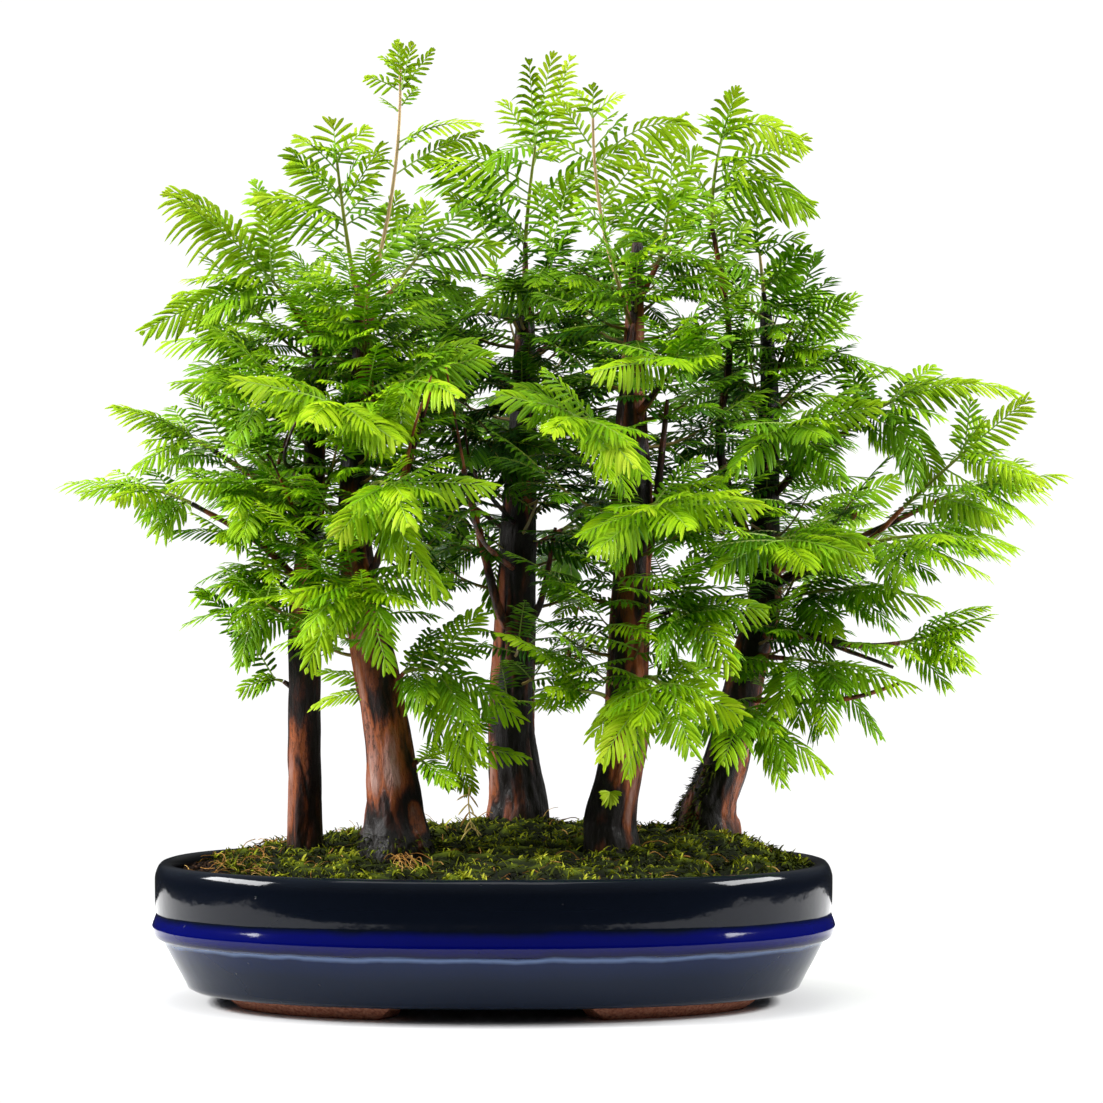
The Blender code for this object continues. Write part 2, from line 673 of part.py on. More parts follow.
class Thicket:
    """All that has been placed so far, to keep what grows next clear of it."""

    def __init__(self):
        self.placed = []

    def add(self, owner, whole, outer=None):
        self.placed.append((owner, as_tree(*whole), as_tree(*outer) if outer else None))

    def is_free(self, owner, whole, outer):
        whole_tree = as_tree(*whole)
        outer_tree = as_tree(*outer)
        for other, tree, outer_part in self.placed:
            if other != owner:
                if tree.overlap(whole_tree):
                    return False
            elif outer_part and outer_part.overlap(outer_tree):
                return False
        return True


class Shoot:
    """The green stem of a spray, which goes on from its woody branch's end."""

    def __init__(self, number, row):
        self.number = number
        self.row = row
        self.draw = random.Random(SEED * 100 + number)
        self.wood = branch_line(row.trunk, row.height, row.wood)
        if len(row.wood) == 1:
            clear = trunk_point(row.trunk, row.height)[1] + 8.0
            share = max(WOOD_SHARE, clear / (self.wood[1] - self.wood[0]).length)
            self.wood[1] = self.wood[0].lerp(self.wood[1], min(1.0, share))
        self.heading = (self.wood[-1] - self.wood[-2]).normalized()
        self.root = self.wood[-1] + self.heading * (TOUCH_GAP + 0.1)
        self.end = seen(*row.tip)
        reach = (self.end - self.root).length
        ahead = self.root + self.heading * (0.45 * reach)
        middle = (self.root + self.end) / 2
        self.bend = ahead.lerp(middle, 0.45) + Vector((0.0, 0.0, 0.04 * reach))
        self.stem_share = max(0.16, 1.0 - END_FROND_SHARE * row.length / reach)
        self.facing = self.face_direction()

    def name(self):
        return f"spray_{self.number:02d}_trunk_{self.row.trunk}"

    def face_direction(self):
        """Sprays lie open to the sky and turn to the side that they grow out on."""
        outward = -1.0 if self.row.tip[1] < 40.0 else 1.0
        return Vector((0.0, outward * self.row.face, 1.0 - self.row.face)).normalized()

    def point(self, s):
        return bezier(self.root, self.bend, self.end, s)

    def direction(self, s):
        return ((self.bend - self.root) * (1 - s) + (self.end - self.bend) * s).normalized()

    def frame(self, s):
        """A place on the stem. Its first ring lies square to the branch's end."""
        along = self.direction(s) if s else self.heading
        side = self.facing.cross(along).normalized()
        return self.point(s), along, side, along.cross(side)

    def stem_line(self):
        steps = 3
        return [self.point(self.stem_share * i / steps) for i in range(steps + 1)]

    def side_root(self, share, hand):
        """The middle of the place on the stem's side where a frond grows out."""
        point, along, side, normal = self.frame(share)
        return point + side * (hand * SHOOT_RADIUS)

    def mesh(self):
        """One closed body: the stem with its pairs of side fronds, ending in the last frond."""
        verts = []
        faces = []
        gate = SHOOT_RADIUS * 1.1 / (self.end - self.root).length
        stations = {0.0: {}}
        for share, hand, frond in self.sides:
            stations.setdefault(share, {})[hand] = frond
        ring = None
        for share in sorted(stations):
            for place in ((share - gate, share + gate) if share else (0.0,)):
                fresh = self.stem_ring(verts, place)
                if ring is None:
                    faces.append(tuple(reversed(fresh)))
                else:
                    grown = stations[share] if place > share else {}
                    self.stem_stretch(verts, faces, ring, fresh, grown)
                ring = fresh
        if self.last:
            self.last.blade(verts, faces, ring)
        else:
            fresh = self.stem_ring(verts, self.stem_share)
            self.stem_stretch(verts, faces, ring, fresh, {})
            faces.append(fresh)
        return verts, faces

    def stem_ring(self, verts, place):
        point, along, side, normal = self.frame(place)
        wide = side * SHOOT_RADIUS
        high = normal * SHOOT_RADIUS
        return add_points(verts, [point - wide + high, point + wide + high,
                                  point + wide - high, point - wide - high])

    def stem_stretch(self, verts, faces, ring, fresh, grown):
        """One stretch of stem. A frond takes the place of the face on its side."""
        faces += [(ring[0], ring[1], fresh[1], fresh[0]), (ring[3], fresh[3], fresh[2], ring[2])]
        if 1 in grown:
            grown[1].blade(verts, faces, (fresh[1], ring[1], ring[2], fresh[2]))
        else:
            faces.append((ring[1], ring[2], fresh[2], fresh[1]))
        if -1 in grown:
            grown[-1].blade(verts, faces, (ring[0], fresh[0], fresh[3], ring[3]))
        else:
            faces.append((ring[0], fresh[0], fresh[3], ring[3]))

    def end_frond(self, attempt):
        """The frond that the stem ends in. Its tip is shifted a little where it is crowded."""
        base = self.point(self.stem_share)
        bend = self.bend.lerp(self.end, self.stem_share)
        tip = self.end + self.shift(attempt)
        return Frond(base, bend, tip, self.tilted(attempt), self.row.needle)

    def shift(self, attempt):
        most = min(1.1 * attempt, MOST_SHIFT)
        return Vector([self.draw.uniform(-most, most) for _ in range(3)])

    def arm_hand(self, share, tip):
        point, along, side, normal = self.frame(share)
        return 1 if (tip - point).dot(side) > 0 else -1

    def arm_frond(self, share, hand, tip_place, attempt):
        """A side frond whose tip is known."""
        root = self.side_root(share, hand)
        tip = tip_place + self.shift(attempt)
        point, along, side, normal = self.frame(share)
        reach = (tip - root).length
        out = (along * 0.7 + side * (0.7 * hand)) * (0.35 * reach)
        bend = root + out.lerp((tip - root) / 2, 0.6) + Vector((0.0, 0.0, 0.06 * reach))
        return Frond(root, bend, tip, self.tilted(attempt), min(self.row.needle, NEEDLE_LENGTH))

    def side_frond(self, place, hand, attempt):
        """A frond on one side of the stem, swung out further on each attempt."""
        draw = self.draw
        root = self.side_root(place, hand)
        point, along, side, normal = self.frame(place)
        side = side * hand
        facing = self.tilted(attempt)
        loose = 4.0 + 2.5 * attempt
        swing = math.radians(52.0 + draw.uniform(-loose, loose))
        pitch = math.radians(draw.uniform(-loose, loose))
        heading = along * math.cos(swing) + side * math.sin(swing)
        heading = (heading * math.cos(pitch) + normal * math.sin(pitch)).normalized()
        length = self.row.length * draw.uniform(0.78, 1.0) * (0.975 ** attempt)
        length = max(length, 20.0)
        bend = root + heading * (length * 0.5)
        tip = root + heading * length - Vector((0.0, 0.0, draw.uniform(0.06, 0.22) * length))
        return Frond(root, bend, tip, facing, min(self.row.needle, NEEDLE_LENGTH))

    def tilted(self, attempt):
        loose = 0.1 + 0.05 * attempt
        offset = Vector([self.draw.uniform(-loose, loose) for _ in range(3)])
        return (self.facing + offset).normalized()

    def arm_makers(self):
        """The side fronds whose tips are known: place on the stem, hand and how it is made."""
        rows = []
        for share, tip in self.row.arms:
            place = share * self.stem_share * 0.94
            tip_place = seen(*tip)
            hand = self.arm_hand(place, tip_place)
            while any(abs(place - other) < 0.05 and hand == taken for other, taken, _ in rows):
                place += 0.06
            rows.append((place, hand, lambda attempt, place=place, hand=hand, tip=tip_place:
                         self.arm_frond(place, hand, tip, attempt)))
        return rows

    def fill_makers(self):
        """The side fronds that fill in, in pairs along the stem, where nothing grows yet."""
        rows = []
        pairs = (self.row.fill + 1) // 2
        for i in range(self.row.fill):
            share = 0.9 - 0.66 * (i // 2) / (pairs - 1) if pairs > 1 else 0.6
            place = self.stem_share * share
            hand = 1 if i % 2 else -1
            if all(abs(place - other) > 0.05 for other, _, _ in self.sides):
                rows.append((place, hand, lambda attempt, place=place, hand=hand:
                             self.side_frond(place, hand, attempt)))
        return rows


def grow(thicket, shoots):
    """Gives each shoot its fronds, one after another, each clear of all the rest."""
    for shoot in shoots:
        line = shoot.stem_line()
        away = [line[0].lerp(line[1], 0.5)] + line[1:]
        thicket.add(shoot.name(), tube(away, [SHOOT_RADIUS + CLEARANCE] * len(away), TEST_SIDES),
                    tube(line, [SHOOT_RADIUS * 1.45] * len(line), TEST_SIDES))
    for shoot in shoots:
        shoot.last = settle(thicket, shoot, shoot.end_frond)
        shoot.sides = []
    for makers in (Shoot.arm_makers, Shoot.fill_makers):
        for shoot in shoots:
            for place, hand, maker in makers(shoot):
                frond = settle(thicket, shoot, maker)
                if frond:
                    shoot.sides.append((place, hand, frond))


def settle(thicket, shoot, maker):
    for attempt in range(TRIES):
        frond = maker(attempt)
        whole = frond.slab(PETIOLE_SHARE / 2)
        outer = frond.slab(PETIOLE_SHARE)
        if thicket.is_free(shoot.name(), whole, outer):
            thicket.add(shoot.name(), whole, outer)
            return frond
    return None


def make_trunk(number, shoots, thicket, bark):
    verts, faces = trunk_mesh(number)
    trunk = solid(f"trunk_{number}", verts, faces, bark, smooth_angle=50)
    thicket.add(trunk.name, (verts, faces))
    branches = []
    for owner, height, radius, route in BARE_BRANCHES:
        if owner == number:
            line = branch_line(number, height, route)
            branches.append(solid("branch", *branch_mesh(line, radius, 1.1), bark))
            thicket.add(trunk.name, branch_mesh(line, radius, 1.1, CLEARANCE))
    for shoot in shoots:
        if shoot.row.trunk == number:
            root = branch_root_radius(shoot.row)
            branches.append(solid("branch", *branch_mesh(shoot.wood, root, 1.1), bark))
            thicket.add(trunk.name, branch_mesh(shoot.wood, root, 1.1, CLEARANCE))
    apply_boolean(trunk, "UNION", branches)


def make_spray(shoot, leaf):
    verts, faces = shoot.mesh()
    solid(shoot.name(), verts, faces, leaf)


def main():
    clear_scene()
    make_pot()
    make_screens()
    make_soil()
    make_moss()
    bark = finish("red_brown_bark", (0.14, 0.055, 0.03), 0.85)
    leaf = finish("needle_green", (0.12, 0.36, 0.015), 0.5)
    shoots = [Shoot(number, row) for number, row in enumerate(SPRAYS, 1)]
    thicket = Thicket()
    for number in TRUNKS:
        make_trunk(number, shoots, thicket, bark)
    grow(thicket, shoots)
    for shoot in shoots:
        make_spray(shoot, leaf)


if __name__ == "__main__":
    main()
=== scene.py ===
"""A dawn redwood forest bonsai, dressed: bark, feathery fronds of flat needles, moss and glaze.

The pieces stand around the solids of the frame, in the same place and size. Lengths are in
millimetres and become metres in the meshes. X runs to the right, Y to the back and Z up.
"""

import functools
import random
from collections import namedtuple
from math import atan2, copysign, cos, degrees, dist, exp, hypot, pi, radians, sin, sqrt, tau

import bmesh
import bpy
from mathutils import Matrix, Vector, noise
from mathutils.bvhtree import BVHTree


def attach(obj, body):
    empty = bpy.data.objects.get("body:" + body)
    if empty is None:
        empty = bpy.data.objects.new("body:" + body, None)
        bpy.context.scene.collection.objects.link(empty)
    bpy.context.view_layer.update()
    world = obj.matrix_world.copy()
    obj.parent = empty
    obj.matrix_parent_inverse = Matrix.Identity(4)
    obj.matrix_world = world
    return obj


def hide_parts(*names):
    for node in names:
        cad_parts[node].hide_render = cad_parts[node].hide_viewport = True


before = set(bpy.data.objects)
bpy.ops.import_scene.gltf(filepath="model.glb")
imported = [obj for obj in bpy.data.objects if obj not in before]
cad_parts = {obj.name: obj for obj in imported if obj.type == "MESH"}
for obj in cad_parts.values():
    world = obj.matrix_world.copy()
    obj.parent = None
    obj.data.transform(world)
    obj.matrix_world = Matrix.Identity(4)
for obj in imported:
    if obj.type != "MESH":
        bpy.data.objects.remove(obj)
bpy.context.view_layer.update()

bl_info = {
    "name": "Dawn Redwood Forest Bonsai",
    "version": (1, 0, 0),
    "blender": (4, 5, 0),
    "location": "3D View > Sidebar > Bonsai",
    "description": "Dresses a forest bonsai of dawn redwoods in an oval glazed pot",
    "category": "Object",
}

MM = 0.001
TOUCH_GAP = 0.3
SEED = 41
UP = Vector((0.0, 0.0, 1.0))

# Pot, ground and eye line, as in the solids
POT_X = -34.7
POT_LENGTH = 340.4
POT_DEPTH = 261.4
POT_HEIGHT = 69.7
OVAL_POWER = 2.3
BEAD_HEIGHT = 38.7
FOOT_HEIGHT = 7.0
FLOOR_TOP = 15.0
DRAIN_HOLE_RADIUS = 9.0
DRAIN_HOLE_SPAN = 150.0
MOSS_EDGE_HEIGHT = 68.0
MOUND_RISE = 14.5
MOUND_EDGE = 11.0
HEAPED_TRUNKS = (3, 5)
HEAP_WIDTH = 28.0
HEAP_RISE = 4.5
MOSS_DEPTH = 5.0
ROOT_BOTTOM = 50.0
EYE = Vector((-6.0, 0.0, 224.0))
EYE_DISTANCE = 2050.0
TRUNK_SIDES = 8
TEST_SIDES = 4
BRANCH_TIP_RADIUS = 1.1
SHOOT_RADIUS = 1.0
FROND_LENGTH = 53.0
NEEDLE_LENGTH = 15.0
BLADE_THICKNESS = 1.0
PETIOLE_SHARE = 0.14
CLEARANCE = 0.8
WOOD_SHARE = 0.7
MOST_SHIFT = 9.0
END_FROND_SHARE = 0.76
TRIES = 26

# Fine detail that only this scene shows
GOLDEN_ANGLE = 137.5
NEEDLE_RINGS = ((0.0, 0.4), (0.32, 0.95), (0.64, 1.0), (0.88, 0.68))
SHORT_NEEDLE_RINGS = ((0.0, 0.45), (0.42, 1.0), (0.84, 0.74))
INNER_NEEDLE_RINGS = ((0.0, 0.55), (0.62, 1.0))
NEEDLE_RIDGE = 0.3
PALEST_FROND = 0.76
TOP_FRONDS_FROM = 335.0
TOP_FRONDS_BLEND = 60.0
STRAW_SHOOTS = {12, 28, 50}
BARE_WOOD = {1, 5, 12, 34, 40, 41, 44, 50}
CROWN_MIDDLE = Vector((-6.0, 0.0, 280.0))
CROWN_HALF = (225.0, 140.0, 185.0)
BARK_SIDES = 72
BARK_STEP = 2.5
CUT_WOOD = 1
POT_POINTS = 192
MOSS_POINTS = 144
MOSS_HALF_LENGTH = 153.0
MOSS_HALF_DEPTH = 117.0
MOSS_SHIFT = 3.0
MOSS_LEFT_SHARE = 0.92
ROOTLETS = 430
ROOTLETS_ON_SOIL = 110
ROOTLETS_AT_RIM = 13
SOIL_CRUMBS = 900
SOIL_HALF_LENGTH = 158.0
SOIL_HALF_DEPTH = 119.0
BARE_STRIP_FROM = 95.0
ROSETTE_TRUNK = 4
ROSETTE_HEIGHT = 104.0
DRY_BUDS = 11
DRY_BUDS_PLACE = (-150.5, -21.0, 282.0)

# Fronds that spring straight from each trunk: the lowest height, the mean step between
# them, and the share of those towards the front that grow.
TUFTS = {1: (222, 5.5, 1.0), 2: (196, 5.0, 1.0), 3: (214, 5.0, 1.0), 4: (226, 5.5, 0.45),
         5: (186, 5.0, 0.9)}

# Leafy twigs that fill the crown between the trunks: the lowest height, the mean step
# between them, and the share of those towards the front that grow.
TWIGS = {1: (232, 9.0, 0.9), 2: (205, 8.5, 0.9), 3: (216, 7.5, 1.0), 4: (222, 9.5, 0.35),
         5: (180, 8.0, 0.9)}

# Leafy twigs that hang in front of a trunk or beside it: the trunk, the height, the turn to
# the right of the front in degrees, and the length.
VEILS = [
    (1, 240, -20, 22), (1, 262, 30, 24), (1, 285, -35, 22), (1, 305, 15, 20), (1, 326, -10, 18),
    (2, 258, 25, 26), (2, 276, -30, 26), (2, 296, 10, 26), (2, 315, -25, 24), (2, 334, 30, 22),
    (2, 350, -10, 16), (2, 324, 5, 24), (2, 342, -40, 18), (2, 286, 40, 26),
    (3, 262, -25, 40), (3, 275, 25, 44), (3, 290, 0, 40), (3, 305, -30, 36), (3, 320, 30, 36),
    (3, 335, -5, 30), (3, 350, 20, 26), (3, 205, -80, 26), (3, 196, 75, 26), (3, 168, 80, 26),
    (4, 318, 60, 26), (4, 335, -60, 24), (4, 232, 70, 24), (4, 290, 75, 22), (4, 352, 30, 18),
    (4, 262, -75, 24), (4, 198, -80, 24), (4, 172, -75, 22), (4, 205, 80, 22),
    (4, 366, -40, 14), (4, 370, 45, 14), (4, 344, 0, 18), (4, 305, -55, 22),
    (5, 160, -20, 34), (5, 178, 15, 34), (5, 235, -25, 26), (5, 255, 20, 26), (5, 275, -10, 26),
    (5, 295, 25, 24), (5, 315, -25, 22), (5, 332, 10, 18),
    (1, 232, -30, 28), (1, 222, 20, 24), (1, 212, -50, 28), (1, 203, 5, 24), (1, 192, -40, 26),
    (2, 236, -20, 28), (2, 228, 30, 26), (2, 218, -40, 28), (2, 207, -5, 26), (2, 197, -20, 26),
    (2, 187, 0, 20), (2, 179, -40, 20), (2, 172, -80, 16), (3, 172, 5, 24), (3, 158, 25, 22),
    (3, 147, -5, 22), (3, 247, 30, 22), (3, 246, -70, 22), (3, 222, -65, 20), (3, 340, -80, 30),
    (3, 326, -95, 34), (3, 312, -85, 30), (4, 350, 85, 24), (4, 330, 90, 22),
    (4, 207, -15, 22), (4, 196, 30, 22), (4, 184, -30, 22), (4, 170, 10, 20), (4, 158, -35, 20),
    (5, 188, -10, 24), (5, 172, 40, 24), (5, 150, 25, 22),
    (5, 334, 35, 22), (5, 341, -30, 22),
]

# Single fronds as the front view shows them: where each springs from the nearest stem and
# where it ends (across and up), its depth from there, its needle, its arch, and how far it
# turns its face to the front.
FRINGE = [
    (-79, 427, -44, 438, -6, 10, 0.18, 0.4), (-81, 421, -102, 426, 6, 9, 0.1, 0.4),
    (-79, 452, -83, 478, 4, 8, 0.0, 0.8), (-79, 452, -76, 477, -4, 8, 0.0, 0.8),
    (-24, 402, -66, 418, -10, 15, 0.2, 0.5), (-23, 397, -69, 407, 12, 14, 0.18, 0.4),
    (-15, 425, -36, 417, -14, 12, 0.3, 0.4), (-13, 424, -17, 467, -12, 16, 0.0, 0.9),
    (-12, 417, 3, 469, 14, 16, 0.0, 0.8), (13, 441, 27, 451, -8, 9, 0.2, 0.5),
    (13, 441, 7, 454, 6, 8, 0.1, 0.6), (16, 416, 63, 436, -6, 16, 0.36, 0.8),
    (13, 414, -8, 428, 8, 12, 0.2, 0.5), (51, 403, 67, 424, -6, 12, 0.1, 0.6),
    (49, 402, 38, 417, 4, 11, 0.15, 0.6), (84, 416, 85, 451, -6, 15, 0.05, 0.9),
    (87, 434, 118, 427, -10, 14, 0.42, 0.7), (86, 430, 106, 439, 8, 13, 0.2, 0.6),
    (84, 405, 121, 396, -8, 17, 0.42, 0.75), (97, 353, 117, 374, -4, 12, 0.05, 0.8),
    (100, 349, 141, 346, -6, 14, 0.34, 0.4), (102, 335, 135, 340, 10, 12, 0.22, 0.3),
    (100, 317, 129, 325, -14, 12, 0.2, 0.3), (116, 304, 174, 310, -6, 13, 0.26, 0.35),
    (171, 302, 229, 302, -4, 13, 0.24, 0.4), (-47, 375, -68, 397, 8, 13, 0.1, 0.5),
    (-43, 372, -56, 402, -8, 13, 0.1, 0.6), (-26, 380, -40, 397, 14, 12, 0.12, 0.5),
    (-22, 375, -30, 393, -10, 12, 0.1, 0.5), (-2, 380, -12, 406, 6, 13, 0.1, 0.6),
    (6, 377, 20, 407, 12, 13, 0.1, 0.6), (21, 380, 7, 400, -12, 12, 0.12, 0.5),
    (24, 382, 39, 401, 8, 12, 0.12, 0.5), (38, 374, 24, 397, 16, 12, 0.1, 0.5),
    (46, 377, 52, 399, -10, 12, 0.1, 0.6), (43, 375, 64, 392, 6, 12, 0.15, 0.4),
    (68, 369, 58, 393, -6, 12, 0.1, 0.5), (74, 370, 76, 394, 10, 12, 0.05, 0.6),
    (78, 369, 92, 387, -8, 12, 0.1, 0.5), (-113, 389, -151, 401, -6, 13, 0.16, 0.4),
    (-112, 399, -134, 418, 8, 12, 0.12, 0.6), (-112, 402, -96, 411, -6, 11, 0.12, 0.5),
    (-111, 389, -92, 395, 6, 11, 0.14, 0.5), (-109, 417, -132, 431, -4, 11, 0.14, 0.5),
    (-109, 420, -99, 435, 4, 10, 0.1, 0.6), (-170, 392, -195, 404, -6, 15, 0.2, 0.7),
    (-151, 380, -187, 398, 8, 16, 0.15, 0.7), (-96, 374, -83, 402, 6, 12, 0.1, 0.6),
    (-92, 371, -72, 393, -8, 12, 0.12, 0.5), (-23, 219, 20, 211, -10, 11, 0.26, 0.3),
    (26, 197, -9, 204, 14, 11, 0.24, 0.3), (21, 169, -13, 173, 8, 11, 0.22, 0.3),
    (-17, 166, 14, 158, -16, 11, 0.2, 0.3), (18, 155, -14, 148, 6, 12, 0.16, 0.35),
    (-18, 179, -33, 183, -20, 9, 0.2, 0.4), (-22, 169, -7, 154, -18, 10, 0.1, 0.5),
    (6, 180, -2, 166, 4, 9, 0.1, 0.5), (38, 199, 86, 191, -20, 13, 0.24, 0.35),
    (43, 217, 75, 226, -22, 13, 0.2, 0.5), (-104, 169, -123, 164, 10, 10, 0.12, 0.4),
    (-103, 156, -125, 147, 8, 10, 0.12, 0.4), (-82, 172, -68, 180, 6, 10, 0.12, 0.4),
    (-81, 160, -66, 150, -6, 10, 0.14, 0.4), (-47, 220, -68, 199, 10, 11, 0.1, 0.5),
    (-43, 217, -36, 195, -6, 11, 0.05, 0.5), (106, 180, 133, 170, 6, 11, 0.16, 0.35),
    (118, 148, 158, 132, -6, 12, 0.16, 0.4), (101, 138, 131, 115, -8, 13, 0.12, 0.5),
    (171, 186, 212, 196, -4, 11, 0.18, 0.3), (-182, 287, -223, 296, -4, 12, 0.14, 0.35),
    (-151, 236, -199, 233, 6, 12, 0.12, 0.3), (-157, 180, -183, 205, 4, 12, 0.2, 0.4),
    (-137, 200, -163, 168, -6, 12, 0.16, 0.5), (158, 240, 225, 226, -6, 12, 0.16, 0.3),
    (168, 227, 222, 220, 10, 11, 0.12, 0.3), (46, 200, 63, 214, 8, 11, 0.12, 0.4),
    (28, 265, 18, 280, 10, 11, 0.1, 0.5), (46, 280, 63, 295, 8, 11, 0.1, 0.5),
    (46, 260, 68, 270, 10, 11, 0.12, 0.4), (104, 300, 142, 299, -6, 12, 0.2, 0.35),
    (108, 265, 140, 256, -8, 12, 0.18, 0.4), (-26, 300, -44, 316, -8, 12, 0.12, 0.4),
    (101, 378, 86, 387, -8, 13, 0.15, 0.5), (101, 371, 118, 381, -8, 13, 0.15, 0.5),
    (101, 363, 84, 368, -12, 13, 0.15, 0.5), (101, 356, 117, 363, -10, 13, 0.15, 0.5),
    (101, 349, 86, 352, -14, 12, 0.15, 0.5),
]

# Thin bare stems that stand out in front of the needles: the trunk, the height where each
# springs from it, how light its bark is, and the places it passes as the front view shows
# them (across, depth, up).
THIN_STEMS = [
    (1, 224, 0.5, [(-137, -62, 250), (-147, -70, 272)]),
    (1, 262, 0.0, [(-139, -66, 268), (-136, -72, 284), (-125, -76, 303)]),
    (2, 240, 0.45, [(-84, -84, 254), (-74, -96, 288), (-66, -98, 312)]),
    (3, 214, 0.4, [(-42, -20, 232), (-50, -66, 268), (-59, -92, 317)]),
    (3, 236, 0.0, [(-44, -10, 262), (-50, -22, 290)]),
]

# Stubby buds on the thin branches: the place of each as the front view shows it, and its
# heading.
BUDS = [
    ((-149, -20, 283), (-0.1, 0, 1)), ((117, 30, 264), (0.2, 0, 1)),
    ((144, 20, 240), (0.5, -0.1, 0.8)), ((2, 45, 176), (0.3, -0.2, -1)),
]

# Withered sprigs: the length of their needles, the distance between pairs, the tone, and the
# places that each passes as the front view shows them.
WITHERED_SPRIGS = [
    (7.0, 3.0, 0.75, [(-47, -62, 106), (-47.5, -64, 98), (-46, -64, 86)]),
    (5.0, 3.2, 0.35, [(8, 40, 199), (6, 38, 189), (4, 36, 178), (9, 36, 168)]),
]

# How light each trunk's bark is, with painted shade that darkens the back trunks 3 and 5 most.
BARK_LEVEL_AND_PAINTED_SHADE = {1: -0.1, 2: -0.06, 3: -0.5, 4: -0.1, 5: -0.42}

# Patches on the bark, some its own colour and some painted shade and light on the trunks' sides,
# such as the dark right sides of trunks 1 and 2 and the lit strip on the right of trunk 5: the
# trunk, the turn to the right of the front in degrees, the height, half the width in degrees, half
# the height, and how much lighter they are.
BARK_PATCHES_AND_PAINTED_SHADE = [
    (1, 65, 150, 65, 110, -0.45), (1, -50, 120, 30, 40, 0.1), (2, 80, 150, 40, 90, -0.4),
    (2, 0, 90, 100, 20, -0.6), (2, -60, 150, 35, 60, 0.15), (2, 45, 94, 22, 9, 1.1),
    (3, -62, 140, 26, 80, 0.5), (4, -75, 92, 45, 30, -0.5), (4, -40, 96, 80, 15, -0.5),
    (4, 0, 80, 95, 12, -0.4), (4, 0, 230, 95, 60, -0.2), (5, 52, 100, 30, 34, 0.75),
    (5, -60, 105, 75, 45, -0.3), (2, -30, 118, 40, 30, 0.3),
]

# Moss that climbs a trunk: the trunk, the turns and heights between which it grows, and the
# number of strands.
CLIMBING_MOSS = [(5, 130.0, 255.0, 86.0, 118.0, 520), (2, 0.0, 360.0, 76.0, 84.0, 200)]

# Stage: the lens in millimetres, the rest in metres and watts. Each softbox has its place, what
# it points at, its width and height, and its power.
CAMERA_LENS = 133.8
WHITE = (1.0, 1.0, 1.0, 1.0)
FLOOR_X = (-0.66, 0.66)
FLOOR_Y = (-0.3, 0.5)
FLOOR_GLOW = (0.0, 0.85)
SOFTBOXES = {
    "left_softbox": ((-1.45, -0.12, 0.95), (0.0, 0.0, 0.1), 1.0, 0.42, 44.0),
    "right_softbox": ((1.4, -0.12, 0.95), (0.0, 0.0, 0.1), 1.0, 0.42, 36.0),
    "top_softbox": ((-0.2, -0.5, 1.9), (0.0, 0.0, 0.3), 1.3, 1.0, 13.0),
}

# The trunks' middle lines from the foot up, as the front view shows them: across, depth, up and
# the radius.
TRUNKS = {
    1: [(-129, -10, 77.5, 8.6), (-129, -10, 92, 8.2), (-129.5, -11, 125, 8.0),
        (-129.5, -12, 163, 7.7), (-130, -12, 190, 7.1), (-126, -13, 240, 6.1),
        (-123.5, -14, 295, 4.5), (-120.5, -15, 345, 2.6)],
    2: [(-83, -45, 75, 20.0), (-83.5, -45, 83, 17.6), (-84, -45, 92, 15.2),
        (-87, -44, 125, 12.0), (-93, -43, 161, 11.2), (-101, -42, 200, 9.6),
        (-105, -40, 245, 8.0), (-101, -38, 300, 6.2), (-101, -34, 357, 3.6)],
    3: [(-23, 65, 92, 16.0), (-23, 65, 104, 14.6), (-26, 64, 133, 12.3),
        (-24.5, 63, 180, 11.0), (-22.5, 59, 235, 9.2), (-20, 56, 300, 6.8),
        (-19, 54, 360, 4.0)],
    4: [(23.5, -38, 77.5, 13.4), (23, -38, 90, 12.2), (28, -37, 114, 10.8),
        (31, -36, 134, 10.8), (33.5, -34, 200, 9.2), (36, -32, 250, 8.0),
        (34.5, -30, 300, 6.4), (37, -26, 378, 2.6)],
    5: [(72, 40, 85, 16.5), (72, 40, 94, 14.8), (76, 40, 106, 12.6),
        (82, 40, 122, 11.8), (92, 41, 165, 10.0), (100.5, 42, 200, 8.8),
        (101, 43, 245, 7.2), (103, 44, 300, 5.0), (101, 45, 345, 3.0)],
}

# Branches without leaves: the trunk, the height where each leaves it, the radius at its root
# and the places it passes.
BARE_BRANCHES = [
    (1, 305, 1.6, [(-134, -24, 290), (-143, -28, 267)]),
    (1, 235, 1.8, [(-140, -20, 243), (-148, -20, 273)]),
    (2, 200, 2.2, [(-84, -58, 245), (-64, -58, 315)]),
    (3, 180, 2.8, [(-33, 50, 197), (-46, 42, 250), (-57, 34, 292)]),
    (3, 180, 2.4, [(-12, 54, 197), (-4, 50, 236)]),
    (4, 215, 3.6, [(27, -41, 238), (28, -42, 290), (35, -34, 338)]),
    (4, 205, 3.2, [(44, -36, 232), (52, -38, 300)]),
    (5, 150, 1.9, [(119, 8, 149), (145, -14, 151), (168, -17, 158)]),
    (5, 178, 1.7, [(121, 18, 181), (143, 16, 174), (165, 14, 166)]),
    (5, 205, 2.8, [(118, 36, 214), (128, 32, 214)]),
]

# A leafy spray: its trunk and the height where it leaves it, its woody branch's route, its tip,
# the fronds whose tips are known, the number of fronds that fill in between them, their length,
# how far they face the front or back, and their needles' length.
Spray = namedtuple("Spray", "trunk height wood tip arms fill length face needle",
                   defaults=((), 4, FROND_LENGTH, 0.6, NEEDLE_LENGTH))

